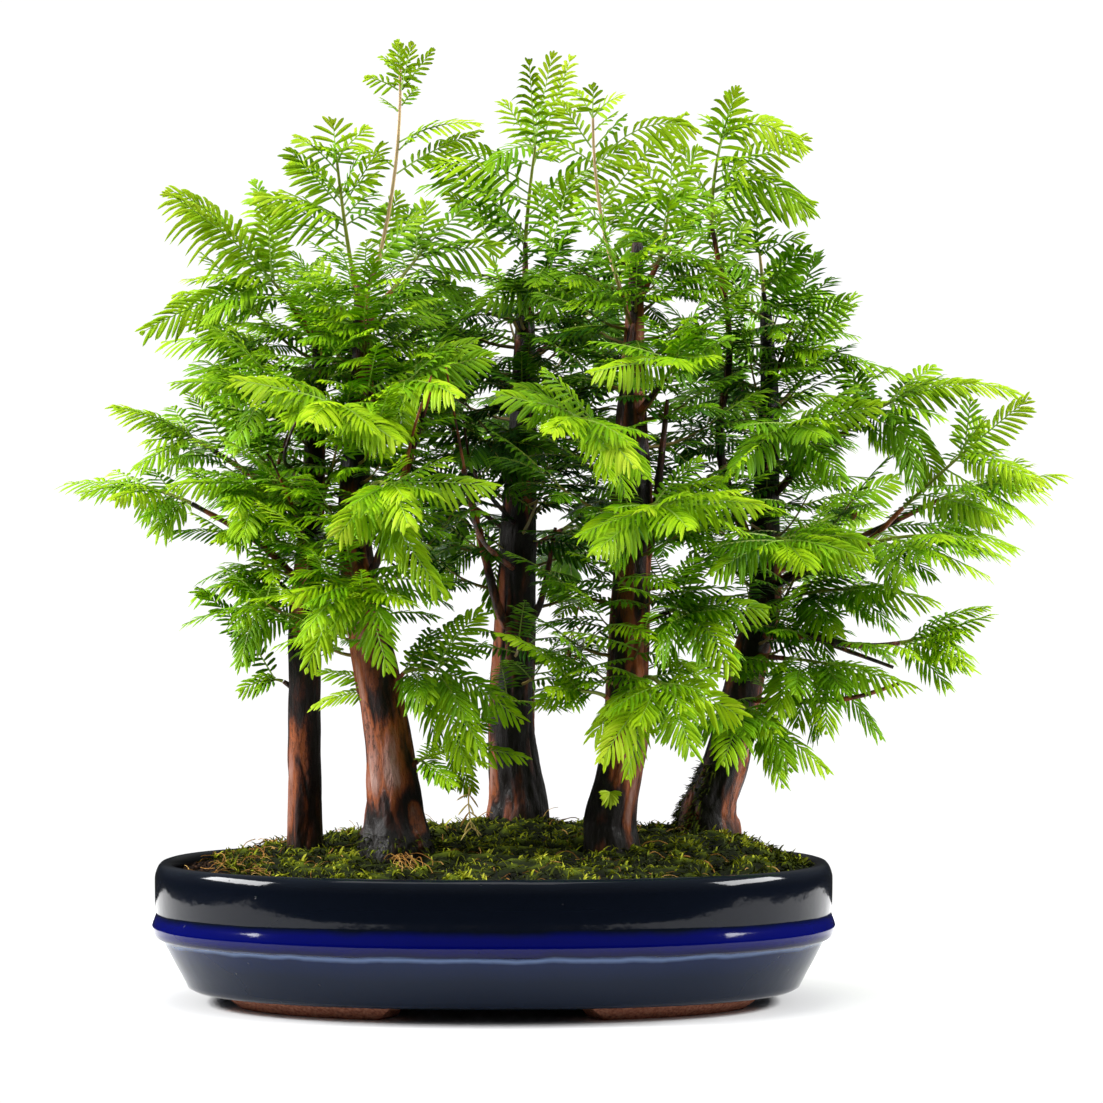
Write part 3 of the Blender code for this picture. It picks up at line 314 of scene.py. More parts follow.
SPRAYS = [
    # Left trunk
    Spray(1, 205, [(-152, -14, 228), (-186, -18, 248)], (-248, 2, 258),
          arms=[(0.12, (-203, -30, 235)), (0.2, (-221, -8, 249))], fill=2, face=0.25),
    Spray(1, 238, [(-150, -8, 258), (-176, 2, 275)], (-224, 12, 297),
          arms=[(0.15, (-200, 16, 272))], fill=3, face=0.3),
    Spray(1, 232, [(-145, -35, 255)], (-196, -62, 257), face=0.35),
    Spray(1, 195, [(-147, -6, 214)], (-184, -4, 201), arms=[(0.3, (-161, -32, 169))], fill=2,
          face=0.35),
    Spray(1, 152, [(-140, -13, 159)], (-161, -17, 155), fill=0, length=22, needle=9),
    Spray(1, 318, [(-126, -14, 332), (-138, -17, 350)], (-196, -30, 402), fill=4, length=86,
          face=0.7, needle=22),
    Spray(1, 298, [(-140, 2, 322)], (-199, 22, 329), arms=[(0.35, (-186, 6, 346))], fill=3,
          face=0.35),
    Spray(1, 275, [(-138, -28, 300)], (-194, -50, 308), face=0.35),
    Spray(1, 250, [(-138, 40, 268)], (-166, 100, 284)),
    Spray(1, 300, [(-114, 14, 320)], (-92, 54, 350), face=0.7),
    # Thick front trunk
    Spray(2, 345, [(-108, -32, 375)], (-115, -32, 437),
          arms=[(0.3, (-151, -28, 402)), (0.6, (-134, -36, 431)), (0.6, (-97, -34, 431)),
                (0.05, (-86, -26, 352))], fill=0, length=22, face=0.8),
    Spray(2, 350, [(-90, -30, 374)], (-82, -22, 477),
          arms=[(0.5, (-42, -25, 434)), (0.5, (-103, -18, 424)), (0.95, (-91, -27, 469)),
                (0.95, (-74, -17, 468))], fill=0, length=15, face=0.8, needle=7),
    Spray(2, 240, [(-92, -84, 264)], (-78, -146, 238), arms=[(0.2, (-60, -116, 202))]),
    Spray(2, 198, [(-104, -72, 216)], (-88, -108, 166),
          arms=[(0.2, (-128, -98, 166)), (0.4, (-108, -112, 160))], fill=2),
    Spray(2, 150, [(-76, -55, 168)], (-22, -66, 140)),
    Spray(2, 108, [(-73, -50, 119)], (-19, -58, 121),
          arms=[(0.1, (-56, -74, 108))], fill=3, length=40, needle=10),
    Spray(2, 280, [(-112, -82, 300)], (-126, -136, 290)),
    Spray(2, 292, [(-82, -78, 312)], (-54, -118, 302)),
    Spray(2, 335, [(-80, -12, 362)], (-48, 12, 398)),
    # Back trunk
    Spray(3, 352, [(-19, 50, 390)], (-6, 45, 470),
          arms=[(0.12, (-66, 42, 420)), (0.3, (30, 50, 432))], fill=1, length=60, face=0.9),
    Spray(3, 300, [(-50, 85, 325)], (-88, 120, 335)),
    Spray(3, 285, [(-15, 95, 302)], (-8, 150, 300)),
    Spray(3, 318, [(12, 90, 342)], (40, 135, 358)),
    Spray(3, 230, [(-52, 72, 252)], (-84, 108, 240)),
    Spray(3, 222, [(8, 95, 240)], (22, 142, 228)),
    Spray(3, 340, [(-8, 22, 368)], (4, -15, 386), arms=[(0.1, (-42, 6, 348))]),
    Spray(3, 255, [(-40, 20, 285)], (-48, -28, 268), arms=[(0.2, (-14, -4, 262))]),
    # Front trunk, right of the middle
    Spray(4, 345, [(26, -18, 358)], (15, -15, 456),
          arms=[(0.55, (64, -8, 435)), (0.3, (-8, -8, 384)), (0.9, (4, -17, 452)),
                (0.9, (27, -13, 450))], fill=0, length=18, face=0.9, needle=9),
    Spray(4, 345, [(52, -18, 378)], (54, -12, 420),
          arms=[(0.1, (80, -26, 356)), (0.05, (60, -22, 346))], fill=4, length=30, face=0.8),
    Spray(4, 290, [(58, -72, 320)], (54, -130, 318), arms=[(0.2, (84, -96, 330))]),
    Spray(4, 232, [(42, -82, 250)], (62, -146, 236)),
    Spray(4, 265, [(15, -80, 292)], (-6, -142, 284)),
    Spray(4, 150, [(45, -70, 166)], (64, -108, 124)),
    Spray(4, 142, [(16, -60, 156)], (-13, -74, 150), fill=0, length=28, needle=10),
    Spray(4, 185, [(62, -52, 198)], (84, -82, 164)),
    # Right trunk
    Spray(5, 215, [(86, 36, 245), (78, 34, 280), (83, 32, 330), (74, 30, 388)], (86, 26, 453),
          arms=[(0.25, (122, 32, 399)), (0.5, (119, 26, 430)), (0.2, (60, 28, 425))], fill=1,
          length=30, face=0.8),
    Spray(5, 305, [(112, 26, 328)], (141, 8, 350), arms=[(0.2, (128, 4, 326))], fill=1,
          length=34),
    Spray(5, 248, [(119, 34, 266), (148, 28, 290)], (204, 22, 308), fill=4, length=52),
    Spray(5, 225, [(145, 26, 226), (170, 18, 246)], (232, 10, 300),
          arms=[(0.35, (213, 16, 315))], fill=3, length=52, face=0.45),
    Spray(5, 212, [(150, 46, 232), (188, 36, 250)], (249, 14, 262), face=0.2),
    Spray(5, 205, [(132, 8, 218), (154, -6, 228)], (226, -18, 226),
          arms=[(0.4, (214, -32, 214))], fill=3, face=0.25),
    Spray(5, 195, [(124, 18, 205)], (186, 8, 199), face=0.3),
    Spray(5, 182, [(121, 4, 182), (145, -3, 177), (168, 0, 178)], (212, -8, 192),
          arms=[(0.2, (199, -12, 170))], fill=3, length=36, face=0.3),
    Spray(5, 172, [(118, -8, 170)], (174, -24, 157), arms=[(0.3, (158, -12, 133))], fill=3,
          face=0.4),
    Spray(5, 140, [(92, -28, 150)], (80, -62, 119), arms=[(0.15, (113, -48, 116))]),
    Spray(5, 215, [(106, -42, 236)], (122, -92, 216)),
    Spray(5, 262, [(110, -40, 292)], (128, -88, 282), arms=[(0.2, (140, -62, 258))]),
    Spray(5, 288, [(84, 88, 312)], (66, 138, 322),
          arms=[(0.3, (96, 126, 340)), (0.2, (52, 120, 298))]),
    Spray(5, 225, [(128, 88, 240)], (150, 136, 240), arms=[(0.2, (104, 120, 222))]),
    Spray(5, 343, [(100, 42, 354)], (96, 36, 392),
          arms=[(0.2, (122, 30, 374)), (0.2, (74, 34, 366))], fill=2, length=24, face=0.8),
]


# Lines, places and the mound


def oval(angle, half_length, half_depth):
    """A point of the pot's oval, a little squarer than an ellipse."""
    c = cos(angle)
    s = sin(angle)
    power = 2.0 / OVAL_POWER
    return (copysign(abs(c) ** power, c) * half_length,
            copysign(abs(s) ** power, s) * half_depth)


def seen(x, y, z):
    """A place given as the front view shows it on the pot's middle plane, at its real depth."""
    spread = 1.0 + y / EYE_DISTANCE
    return Vector((EYE.x + (x - EYE.x) * spread, y, EYE.z + (z - EYE.z) * spread))


def ring_faces(rings, sides, ends=False):
    """The faces between closed rings of points in a row, and the two that end them."""
    faces = []
    for i in range(rings - 1):
        for k in range(sides):
            a = i * sides + k
            b = i * sides + (k + 1) % sides
            faces.append((a, b, b + sides, a + sides))
    if ends:
        faces += [tuple(range(sides)), tuple(range((rings - 1) * sides, rings * sides))]
    return faces


def tube(points, radii, sides, swell=None):
    """Points and faces of a closed tube round a line. The line's frame is carried along it."""
    verts = []
    count = len(points)
    side = Vector((-1.0, 0.0, 0.0))
    for i, point in enumerate(points):
        along = (points[min(i + 1, count - 1)] - points[max(i - 1, 0)]).normalized()
        side = side - along * side.dot(along)
        if side.length < 0.3:
            side = along.cross(Vector((0.0, 1.0, 0.0)))
        side.normalize()
        up = side.cross(along)
        for k in range(sides):
            radius = radii[i] * (swell(i, k) if swell else 1.0)
            verts.append(point + swung(side, up, tau * k / sides) * radius)
    return verts, ring_faces(count, sides, ends=True)


def swung(along, side, angle):
    """A direction that is turned from one towards another, square to it."""
    return along * cos(angle) + side * sin(angle)


def as_tree(verts, faces):
    return BVHTree.FromPolygons(verts, faces, all_triangles=False, epsilon=0.0)


def mound(x, y):
    """Height of the moss at a place: a mound that is heaped up round two of the trunks."""
    dx = (x - POT_X) / (POT_LENGTH / 2 - MOUND_EDGE)
    dy = y / (POT_DEPTH / 2 - MOUND_EDGE)
    rho = min(1.0, (abs(dx) ** OVAL_POWER + abs(dy) ** OVAL_POWER) ** (1.0 / OVAL_POWER))
    level = 1.0 - rho ** 2
    height = MOSS_EDGE_HEIGHT + MOUND_RISE * (1.0 - rho ** 3)
    height += (0.07 * y + 0.02 * (x - POT_X)) * level
    for number in HEAPED_TRUNKS:
        root = seen(*TRUNKS[number][0][:3])
        near = ((x - root.x) ** 2 + (y - root.y) ** 2) / (2 * HEAP_WIDTH ** 2)
        height += HEAP_RISE * exp(-near)
    return height


def level_way(turn):
    """The level direction at a turn from the right."""
    return Vector((cos(turn), sin(turn), 0.0))


def trunk_places(number):
    """The real places of a trunk's middle line, with its radius at each."""
    return [(seen(x, y, z), radius) for x, y, z, radius in TRUNKS[number]]


def trunk_point(number, height):
    """The trunk's middle and radius at a height, as the front view shows it."""
    line = TRUNKS[number]
    for low, high in zip(line, line[1:]):
        if low[2] <= height <= high[2]:
            share = (height - low[2]) / (high[2] - low[2])
            x, y, z, radius = (a + (b - a) * share for a, b in zip(low, high))
            return seen(x, y, z), radius
    raise ValueError("no trunk at this height")


def trunk_mesh(number):
    """The trunk from its buried root end up, slightly ribbed and uneven all round."""
    draw = random.Random(SEED + number)
    places = trunk_places(number)
    foot_place = places[0][0]
    points = [Vector((foot_place.x, foot_place.y, z)) for z in (ROOT_BOTTOM, foot_place.z - 4.0)]
    radii = [places[0][1]] * 2
    for place, radius in places[1:]:
        points.append(place)
        radii.append(radius)
    ribs = [[1.0 + draw.uniform(-0.06, 0.06) for _ in range(TRUNK_SIDES)] for _ in points]
    ribs[0] = [1.0] * TRUNK_SIDES
    ribs[1] = [1.0] * TRUNK_SIDES
    return tube(points, radii, TRUNK_SIDES, swell=lambda i, k: ribs[i][k])


def branch_line(number, height, route):
    """A branch's middle line from inside its trunk."""
    start, _ = trunk_point(number, height)
    return [start] + [seen(*place) for place in route]


def tapered(root_radius, tip_radius, count):
    return [root_radius + (tip_radius - root_radius) * i / (count - 1) for i in range(count)]


def branch_room(line, root_radius):
    """The room that a woody branch needs."""
    radii = [radius + CLEARANCE for radius in tapered(root_radius, BRANCH_TIP_RADIUS, len(line))]
    return tube(line, radii, TEST_SIDES)


def branch_root_radius(row):
    return 1.5 + 0.35 * len(row.wood)


def bezier(a, b, c, s):
    return a * (1 - s) ** 2 + b * (2 * s * (1 - s)) + c * s ** 2


# Growth


class Frond(namedtuple("Frond", "root bend tip facing needle")):
    """A flat feathery frond on a curved rib from root over bend to tip."""

    def frame(self, s):
        point = bezier(self.root, self.bend, self.tip, s)
        along = (self.bend - self.root) * (1 - s) + (self.tip - self.bend) * s
        along.normalize()
        side = self.facing.cross(along)
        if side.length < 0.15:
            side = Vector((1.0, 0.3, 0.2)).cross(along)
        side.normalize()
        return point, along, side, along.cross(side)

    def length(self):
        around = (self.bend - self.root).length + (self.tip - self.bend).length
        return (around + (self.tip - self.root).length) / 2

    def reach(self, s):
        """Needle length at a place on the rib: short at the root, shorter at the tip."""
        swell = 0.62 + 0.38 * sin(pi * min(1.0, s) ** 0.8)
        taper = 1.0 if s < 0.78 else 1.0 - 0.5 * (s - 0.78) / 0.22
        return self.needle * swell * taper

    def needle_end(self, s, hand):
        point, along, side, normal = self.frame(s)
        lean = radians(72.0 - 30.0 * s)
        reach = self.reach(s)
        return (point + side * (hand * reach * sin(lean)) + along * (reach * cos(lean))
                - normal * (0.12 * reach))

    def slab(self, start):
        """The room that the frond needs, from a place on its rib to its tip."""
        verts = []
        faces = []
        steps = 4
        for i in range(steps + 1):
            s = start + (1.0 - start) * i / steps
            point, _, side, normal = self.frame(s)
            spare = normal * (BLADE_THICKNESS / 2 + CLEARANCE)
            for place in (self.needle_end(s, -1) - side * CLEARANCE, point,
                          self.needle_end(s, 1) + side * CLEARANCE):
                verts += [place + spare, place - spare]
        for i in range(steps):
            a = 6 * i
            b = a + 6
            faces += [(a, a + 2, b + 2, b), (a + 2, a + 4, b + 4, b + 2),
                      (a + 1, b + 1, b + 3, a + 3), (a + 3, b + 3, b + 5, a + 5),
                      (a, b, b + 1, a + 1), (a + 4, a + 5, b + 5, b + 4)]
        last = 6 * steps
        faces += [(0, 1, 3, 2), (2, 3, 5, 4), (last, last + 2, last + 3, last + 1),
                  (last + 2, last + 4, last + 5, last + 3)]
        return verts, faces


class Thicket:
    """All that has been placed so far, to keep what grows next clear of it."""

    def __init__(self):
        self.placed = []

    def add(self, owner, whole, outer=None):
        self.placed.append((owner, as_tree(*whole), as_tree(*outer) if outer else None))

    def is_free(self, owner, whole, outer):
        whole_tree = as_tree(*whole)
        outer_tree = as_tree(*outer)
        for other, tree, outer_part in self.placed:
            if other != owner:
                if tree.overlap(whole_tree):
                    return False
            elif outer_part and outer_part.overlap(outer_tree):
                return False
        return True


class Shoot:
    """The green stem of a spray, which goes on from its woody branch's end."""

    def __init__(self, number, row):
        self.number = number
        self.row = row
        self.draw = random.Random(SEED * 100 + number)
        self.wood = branch_line(row.trunk, row.height, row.wood)
        if len(row.wood) == 1:
            clear = trunk_point(row.trunk, row.height)[1] + 8.0
            share = max(WOOD_SHARE, clear / (self.wood[1] - self.wood[0]).length)
            self.wood[1] = self.wood[0].lerp(self.wood[1], min(1.0, share))
        self.heading = (self.wood[-1] - self.wood[-2]).normalized()
        self.root = self.wood[-1] + self.heading * (TOUCH_GAP + 0.1)
        self.end = seen(*row.tip)
        reach = (self.end - self.root).length
        ahead = self.root + self.heading * (0.45 * reach)
        middle = (self.root + self.end) / 2
        self.bend = ahead.lerp(middle, 0.45) + UP * (0.04 * reach)
        self.stem_share = max(0.16, 1.0 - END_FROND_SHARE * row.length / reach)
        self.facing = self.face_direction()

    def name(self):
        return f"spray_{self.number:02d}_trunk_{self.row.trunk}"

    def face_direction(self):
        """Sprays lie open to the sky and turn to the side that they grow out on."""
        outward = -1.0 if self.row.tip[1] < 40.0 else 1.0
        return Vector((0.0, outward * self.row.face, 1.0 - self.row.face)).normalized()

    def point(self, s):
        return bezier(self.root, self.bend, self.end, s)

    def frame(self, s):
        """A place on the stem. Its first ring lies square to the branch's end."""
        along = self.heading
        if s:
            along = (self.bend - self.root) * (1 - s) + (self.end - self.bend) * s
            along.normalize()
        side = self.facing.cross(along).normalized()
        return self.point(s), along, side, along.cross(side)

    def stem_line(self):
        steps = 3
        return [self.point(self.stem_share * i / steps) for i in range(steps + 1)]

    def side_root(self, share, hand):
        """The middle of the place on the stem's side where a frond grows out."""
        point, _, side, _ = self.frame(share)
        return point + side * (hand * SHOOT_RADIUS)

    def end_frond(self, attempt):
        """The frond that the stem ends in. Its tip is shifted a little where it is crowded."""
        base = self.point(self.stem_share)
        bend = self.bend.lerp(self.end, self.stem_share)
        tip = self.end + self.shift(attempt)
        return Frond(base, bend, tip, self.tilted(attempt), self.row.needle)

    def shift(self, attempt):
        most = min(1.1 * attempt, MOST_SHIFT)
        return Vector([self.draw.uniform(-most, most) for _ in range(3)])

    def arm_hand(self, share, tip):
        point, _, side, _ = self.frame(share)
        return 1 if (tip - point).dot(side) > 0 else -1

    def arm_frond(self, share, hand, tip_place, attempt):
        """A side frond whose tip is known."""
        root = self.side_root(share, hand)
        tip = tip_place + self.shift(attempt)
        _, along, side, _ = self.frame(share)
        reach = (tip - root).length
        out = (along * 0.7 + side * (0.7 * hand)) * (0.35 * reach)
        bend = root + out.lerp((tip - root) / 2, 0.6) + UP * (0.06 * reach)
        return Frond(root, bend, tip, self.tilted(attempt), min(self.row.needle, NEEDLE_LENGTH))

    def side_frond(self, place, hand, attempt):
        """A frond on one side of the stem, swung out further on each attempt."""
        draw = self.draw
        root = self.side_root(place, hand)
        _, along, side, normal = self.frame(place)
        facing = self.tilted(attempt)
        loose = 4.0 + 2.5 * attempt
        swing = radians(52.0 + draw.uniform(-loose, loose))
        pitch = radians(draw.uniform(-loose, loose))
        heading = swung(swung(along, side * hand, swing), normal, pitch).normalized()
        length = self.row.length * draw.uniform(0.78, 1.0) * (0.975 ** attempt)
        length = max(length, 20.0)
        bend = root + heading * (length * 0.5)
        tip = root + heading * length - UP * (draw.uniform(0.06, 0.22) * length)
        return Frond(root, bend, tip, facing, min(self.row.needle, NEEDLE_LENGTH))

    def tilted(self, attempt):
        loose = 0.1 + 0.05 * attempt
        offset = Vector([self.draw.uniform(-loose, loose) for _ in range(3)])
        return (self.facing + offset).normalized()

    def arm_makers(self):
        """The side fronds whose tips are known: place on the stem, hand and how it is made."""
        rows = []
        for share, tip in self.row.arms:
            place = share * self.stem_share * 0.94
            tip_place = seen(*tip)
            hand = self.arm_hand(place, tip_place)
            while any(abs(place - other) < 0.05 and hand == taken for other, taken, _ in rows):
                place += 0.06
            rows.append((place, hand, functools.partial(self.arm_frond, place, hand, tip_place)))
        return rows

    def fill_makers(self):
        """The side fronds that fill in, in pairs along the stem, where nothing grows yet."""
        rows = []
        pairs = (self.row.fill + 1) // 2
        for i in range(self.row.fill):
            share = 0.9 - 0.66 * (i // 2) / (pairs - 1) if pairs > 1 else 0.6
            place = self.stem_share * share
            hand = 1 if i % 2 else -1
            if all(abs(place - other) > 0.05 for other, _, _ in self.sides):
                rows.append((place, hand, functools.partial(self.side_frond, place, hand)))
        return rows


def grow(thicket, shoots):
    """Gives each shoot its fronds, one after another, each clear of all the rest."""
    for shoot in shoots:
        line = shoot.stem_line()
        away = [line[0].lerp(line[1], 0.5)] + line[1:]
        thicket.add(shoot.name(), tube(away, [SHOOT_RADIUS + CLEARANCE] * len(away), TEST_SIDES),
                    tube(line, [SHOOT_RADIUS * 1.45] * len(line), TEST_SIDES))
    for shoot in shoots:
        shoot.last = settle(thicket, shoot, shoot.end_frond)
        shoot.sides = []
    for makers in (Shoot.arm_makers, Shoot.fill_makers):
        for shoot in shoots:
            for place, hand, maker in makers(shoot):
                frond = settle(thicket, shoot, maker)
                if frond:
                    shoot.sides.append((place, hand, frond))


def settle(thicket, shoot, maker):
    for attempt in range(TRIES):
        frond = maker(attempt)
        whole = frond.slab(PETIOLE_SHARE / 2)
        outer = frond.slab(PETIOLE_SHARE)
        if thicket.is_free(shoot.name(), whole, outer):
            thicket.add(shoot.name(), whole, outer)
            return frond
    return None


# Colours, materials and meshes


def linear(colour):
    """An sRGB hex colour as linear red, green and blue. A colour that is linear already stays."""
    if not isinstance(colour, str):
        return tuple(colour)
    channels = [int(colour[i:i + 2], 16) / 255 for i in (1, 3, 5)]
    return tuple(c / 12.92 if c <= 0.04045 else ((c + 0.055) / 1.055) ** 2.4 for c in channels)


def set_sockets(tree, node, sockets):
    """Gives each socket a value or a link from another node's output."""
    for name, value in sockets.items():
        if isinstance(value, bpy.types.NodeSocket):
            tree.links.new(value, node.inputs[name])
        else:
            node.inputs[name].default_value = value


def add_node(tree, kind, sockets=(), stops=(), **settings):
    """Adds a node with its settings, its sockets and the stops of its colours."""
    made = tree.nodes.new("ShaderNode" + kind)
    for name, value in settings.items():
        setattr(made, name, value)
    set_sockets(tree, made, dict(sockets))
    if stops:
        elements = made.color_ramp.elements
        while len(elements) < len(stops):
            elements.new(0.5)
        for element, (place, colour) in zip(elements, stops):
            element.position = place
            element.color = (*linear(colour), 1.0)
    return made


def new_material(name, colour, sockets):
    """A material and its shader, with the numbers that are the same all over its surface."""
    material = bpy.data.materials.new(name)
    material.use_nodes = True
    material.diffuse_color = (*linear(colour), 1.0)
    shader = material.node_tree.nodes["Principled BSDF"]
    set_sockets(material.node_tree, shader, {"Base Color": material.diffuse_color, **sockets})
    return material, material.node_tree, shader


class Piece:
    """Points, faces and tones that become one mesh. A tone from 0 to 1 picks the colour."""

    def __init__(self):
        self.verts = []
        self.faces = []
        self.tones = []
        self.finishes = []

    def add(self, verts, faces, tone, finish=0):
        first = len(self.verts)
        self.verts += verts
        self.faces += [tuple(first + i for i in face) for face in faces]
        self.tones += tone if isinstance(tone, list) else [tone] * len(verts)
        self.finishes += [finish] * len(faces)

    def build(self, name, materials, smooth_angle=None):
        mesh = bpy.data.meshes.new(name)
        mesh.from_pydata([v * MM for v in self.verts], [], self.faces)
        for material in materials:
            mesh.materials.append(material)
        mesh.polygons.foreach_set("material_index", self.finishes)
        shape = bmesh.new()
        shape.from_mesh(mesh)
        bmesh.ops.recalc_face_normals(shape, faces=shape.faces)
        shape.to_mesh(mesh)
        shape.free()
        tones = mesh.attributes.new("tone", "FLOAT", "POINT")
        tones.data.foreach_set("value", self.tones)
        if smooth_angle:
            mesh.shade_smooth()
            mesh.set_sharp_from_angle(angle=radians(smooth_angle))
        made = bpy.data.objects.new(name, mesh)
        bpy.context.scene.collection.objects.link(made)
        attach(made, "root")
        return made


def smooth_line(places, spacing):
    """Points about that far apart on a smooth curve through the places, radii included."""
    made = []
    count = len(places)
    for i in range(count - 1):
        a, b = places[max(i - 1, 0)], places[i]
        c, d = places[i + 1], places[min(i + 2, count - 1)]
        steps = max(1, round(dist(b[:3], c[:3]) / spacing))
        for j in range(steps):
            t = j / steps
            made.append(tuple(
                0.5 * (2 * q + (r - p) * t + (2 * p - 5 * q + 4 * r - s) * t ** 2
                       + (3 * q - p - 3 * r + s) * t ** 3)
                for p, q, r, s in zip(a, b, c, d)))
    made.append(tuple(places[-1]))
    return made


def smooth_route(points, spacing):
    return [Vector(place) for place in smooth_line(points, spacing)]


def add_wire(piece, places, radii, tone, sides=4, finish=0):
    verts, faces = tube(places, radii, sides)
    piece.add(verts, faces, tone, finish)


# Needles and fronds


def add_needle(piece, root, along, flat, length, width, bend, tone, rings=NEEDLE_RINGS):
    """A flat needle with a raised middle, which curves over to a pointed tip."""
    ridge = flat.cross(along).normalized()
    if ridge.z < 0.0:
        ridge.negate()
    verts = []
    for place, share in rings:
        middle = root + along * (length * place) + bend * (length * place * place)
        half = flat * (width / 2 * share)
        verts += [middle - half, middle + ridge * (NEEDLE_RIDGE * share), middle + half]
    verts.append(root + along * length + bend * length)
    last = 3 * (len(rings) - 1)
    faces = [(0, 1, 2)]
    for first in range(0, last, 3):
        for k in range(3):
            a = first + k
            b = first + (k + 1) % 3
            faces.append((a, a + 3, b + 3, b))
    faces += [(last + k, last + 3, last + (k + 1) % 3) for k in range(3)]
    shade = [tone - 0.07] * 3 + [tone] * (len(verts) - 4) + [tone + 0.05]
    piece.add(verts, faces, shade)


def add_feather(piece, frond, tone, look, draw, start=0.05, inner=False):
    """A frond's rib, its two rows of needles that arch over, and the needles that end it."""
    rings = NEEDLE_RINGS if frond.needle > 14.0 else SHORT_NEEDLE_RINGS
    near_top = (frond.frame(0.5)[0].z - TOP_FRONDS_FROM) / TOP_FRONDS_BLEND
    near_top = min(1.0, max(0.0, near_top))
    if inner:
        rings = INNER_NEEDLE_RINGS
        near_top = 0.0
    steps = max(4, round(frond.length() / 9.0))
    ribs = [frond.frame(i / steps)[0] for i in range(steps + 1)]
    radii = [0.55 - 0.33 * i / steps for i in range(steps + 1)]
    add_wire(piece, ribs, radii, min(0.68, tone + 0.1), sides=3, finish=1)
    spacing = look.needle_spacing * (0.5 + 0.5 * frond.needle / NEEDLE_LENGTH)
    spacing *= 1.12 if inner else 1.0 + 0.45 * near_top
    pairs = max(4, round(frond.length() * (1.0 - start) / spacing))
    slack = draw.uniform(0.9, 1.5) * (1.35 if frond.needle > NEEDLE_LENGTH else 1.0)
    spread = 62.0 if frond.needle > NEEDLE_LENGTH else 72.0
    for i in range(pairs):
        s = start + (0.95 - start) * ((i + 0.5) / pairs) ** (1.0 - 0.22 * near_top)
        point, along, side, normal = frond.frame(s)
        for hand in (-1, 1):
            lean = radians(spread - (spread - 20.0) * s ** 1.6 + draw.uniform(-7.0, 7.0))
            out = (swung(along, side * hand, lean)
                   + normal * draw.uniform(-0.12, 0.16)).normalized()
            length = max(frond.reach(s), 0.62 * frond.needle) * draw.uniform(0.82, 1.04)
            length *= 1.0 + 0.12 * near_top
            width = look.needle_width * (0.72 + 0.28 * length / 12.0) * draw.uniform(0.88, 1.1)
            flat = (normal + side * draw.uniform(-0.3, 0.3)).cross(out).normalized()
            droop = slack * (0.13 + 0.013 * length)
            bend = along * 0.14 - out * (0.3 * droop) - UP * droop
            shade = tone + 0.16 * (s - 0.5) + draw.uniform(-0.07, 0.07)
            add_needle(piece, point + along * (0.5 * hand), out, flat, length, width, bend, shade,
                       rings)
    point, along, side, normal = frond.frame(1.0)
    for turn in (-0.34, 0.0, 0.34):
        out = (along + side * turn).normalized()
        flat = normal.cross(out).normalized()
        length = max(frond.reach(1.0), 0.62 * frond.needle * near_top) * draw.uniform(0.45, 0.7)
        add_needle(piece, point, out, flat, length, look.needle_width * 0.7, UP * -0.2,
                   tone + 0.1, rings)


def sprung_frond(root, heading, length, sag, draw, needle):
    """A frond that springs from a place and bows under its own weight, its face to the sky."""
    tip = root + heading * length - UP * (sag * length)
    facing = Vector((heading.x * 0.35 + draw.uniform(-0.25, 0.25),
                     heading.y * 0.45 - 0.2 + draw.uniform(-0.25, 0.25), 1.0)).normalized()
    return Frond(root, root + heading * (0.5 * length), tip, facing, needle)


def companions(shoot, look):
    """Further fronds close to those that the shoot already has, which fill the crown."""
    made = []
    draw = random.Random(SEED * 1000 + shoot.number)
    needle = min(shoot.row.needle, NEEDLE_LENGTH)
    for place, hand, frond in sorted(shoot.sides, key=lambda row: row[0]):
        reach = (frond.tip - frond.root).length
        for layer in (-1, 1):
            if draw.random() > look.fullness:
                continue
            near = min(shoot.stem_share, max(0.03, place + layer * draw.uniform(0.06, 0.12)))
            root = shoot.side_root(near, hand)
            _, along, _, normal = shoot.frame(near)
            lift = layer * draw.uniform(0.12, 0.42)
            heading = ((frond.bend - frond.root).normalized() + normal * lift
                       + along * draw.uniform(-0.35, 0.35)).normalized()
            made.append(sprung_frond(root, heading, reach * draw.uniform(0.55, 0.9),
                                     draw.uniform(0.1, 0.3), draw, needle * 0.92))
    if shoot.last and shoot.row.length > 20:
        reach = (shoot.last.tip - shoot.last.root).length
        for turn in (-0.7, 0.0, 0.7):
            near = shoot.stem_share * draw.uniform(0.86, 1.0)
            root, along, side, normal = shoot.frame(near)
            heading = (along + side * (turn + draw.uniform(-0.2, 0.2))
                       + normal * draw.uniform(-0.25, 0.45)).normalized()
            made.append(sprung_frond(root, heading, reach * draw.uniform(0.5, 0.8),
                                     draw.uniform(0.05, 0.25), draw, needle * 0.92))
    return made


def wood_fronds(shoot):
    """Short fronds along the woody branch that carries the shoot."""
    made = []
    if shoot.number in BARE_WOOD:
        return made
    draw = random.Random(SEED * 900 + shoot.number)
    line = smooth_route(shoot.wood, 2.5)
    walked = 0.0
    wait = trunk_point(shoot.row.trunk, shoot.row.height)[1] + 12.0
    hand = 1
    for low, high in zip(line, line[1:]):
        walked += (high - low).length
        if walked < wait:
            continue
        wait = walked + draw.uniform(7.0, 12.0)
        hand = -hand
        along = (high - low).normalized()
        side = UP.cross(along)
        if side.length < 0.5:
            side = level_way(draw.uniform(0.0, tau))
        side.normalize()
        swing = radians(draw.uniform(45.0, 75.0))
        heading = (swung(along, side * hand, swing) + UP * draw.uniform(-0.1, 0.4)).normalized()
        made.append(sprung_frond(high, heading, draw.uniform(26.0, 44.0),
                                 draw.uniform(0.12, 0.32), draw, draw.uniform(10.0, 13.0)))
    return made


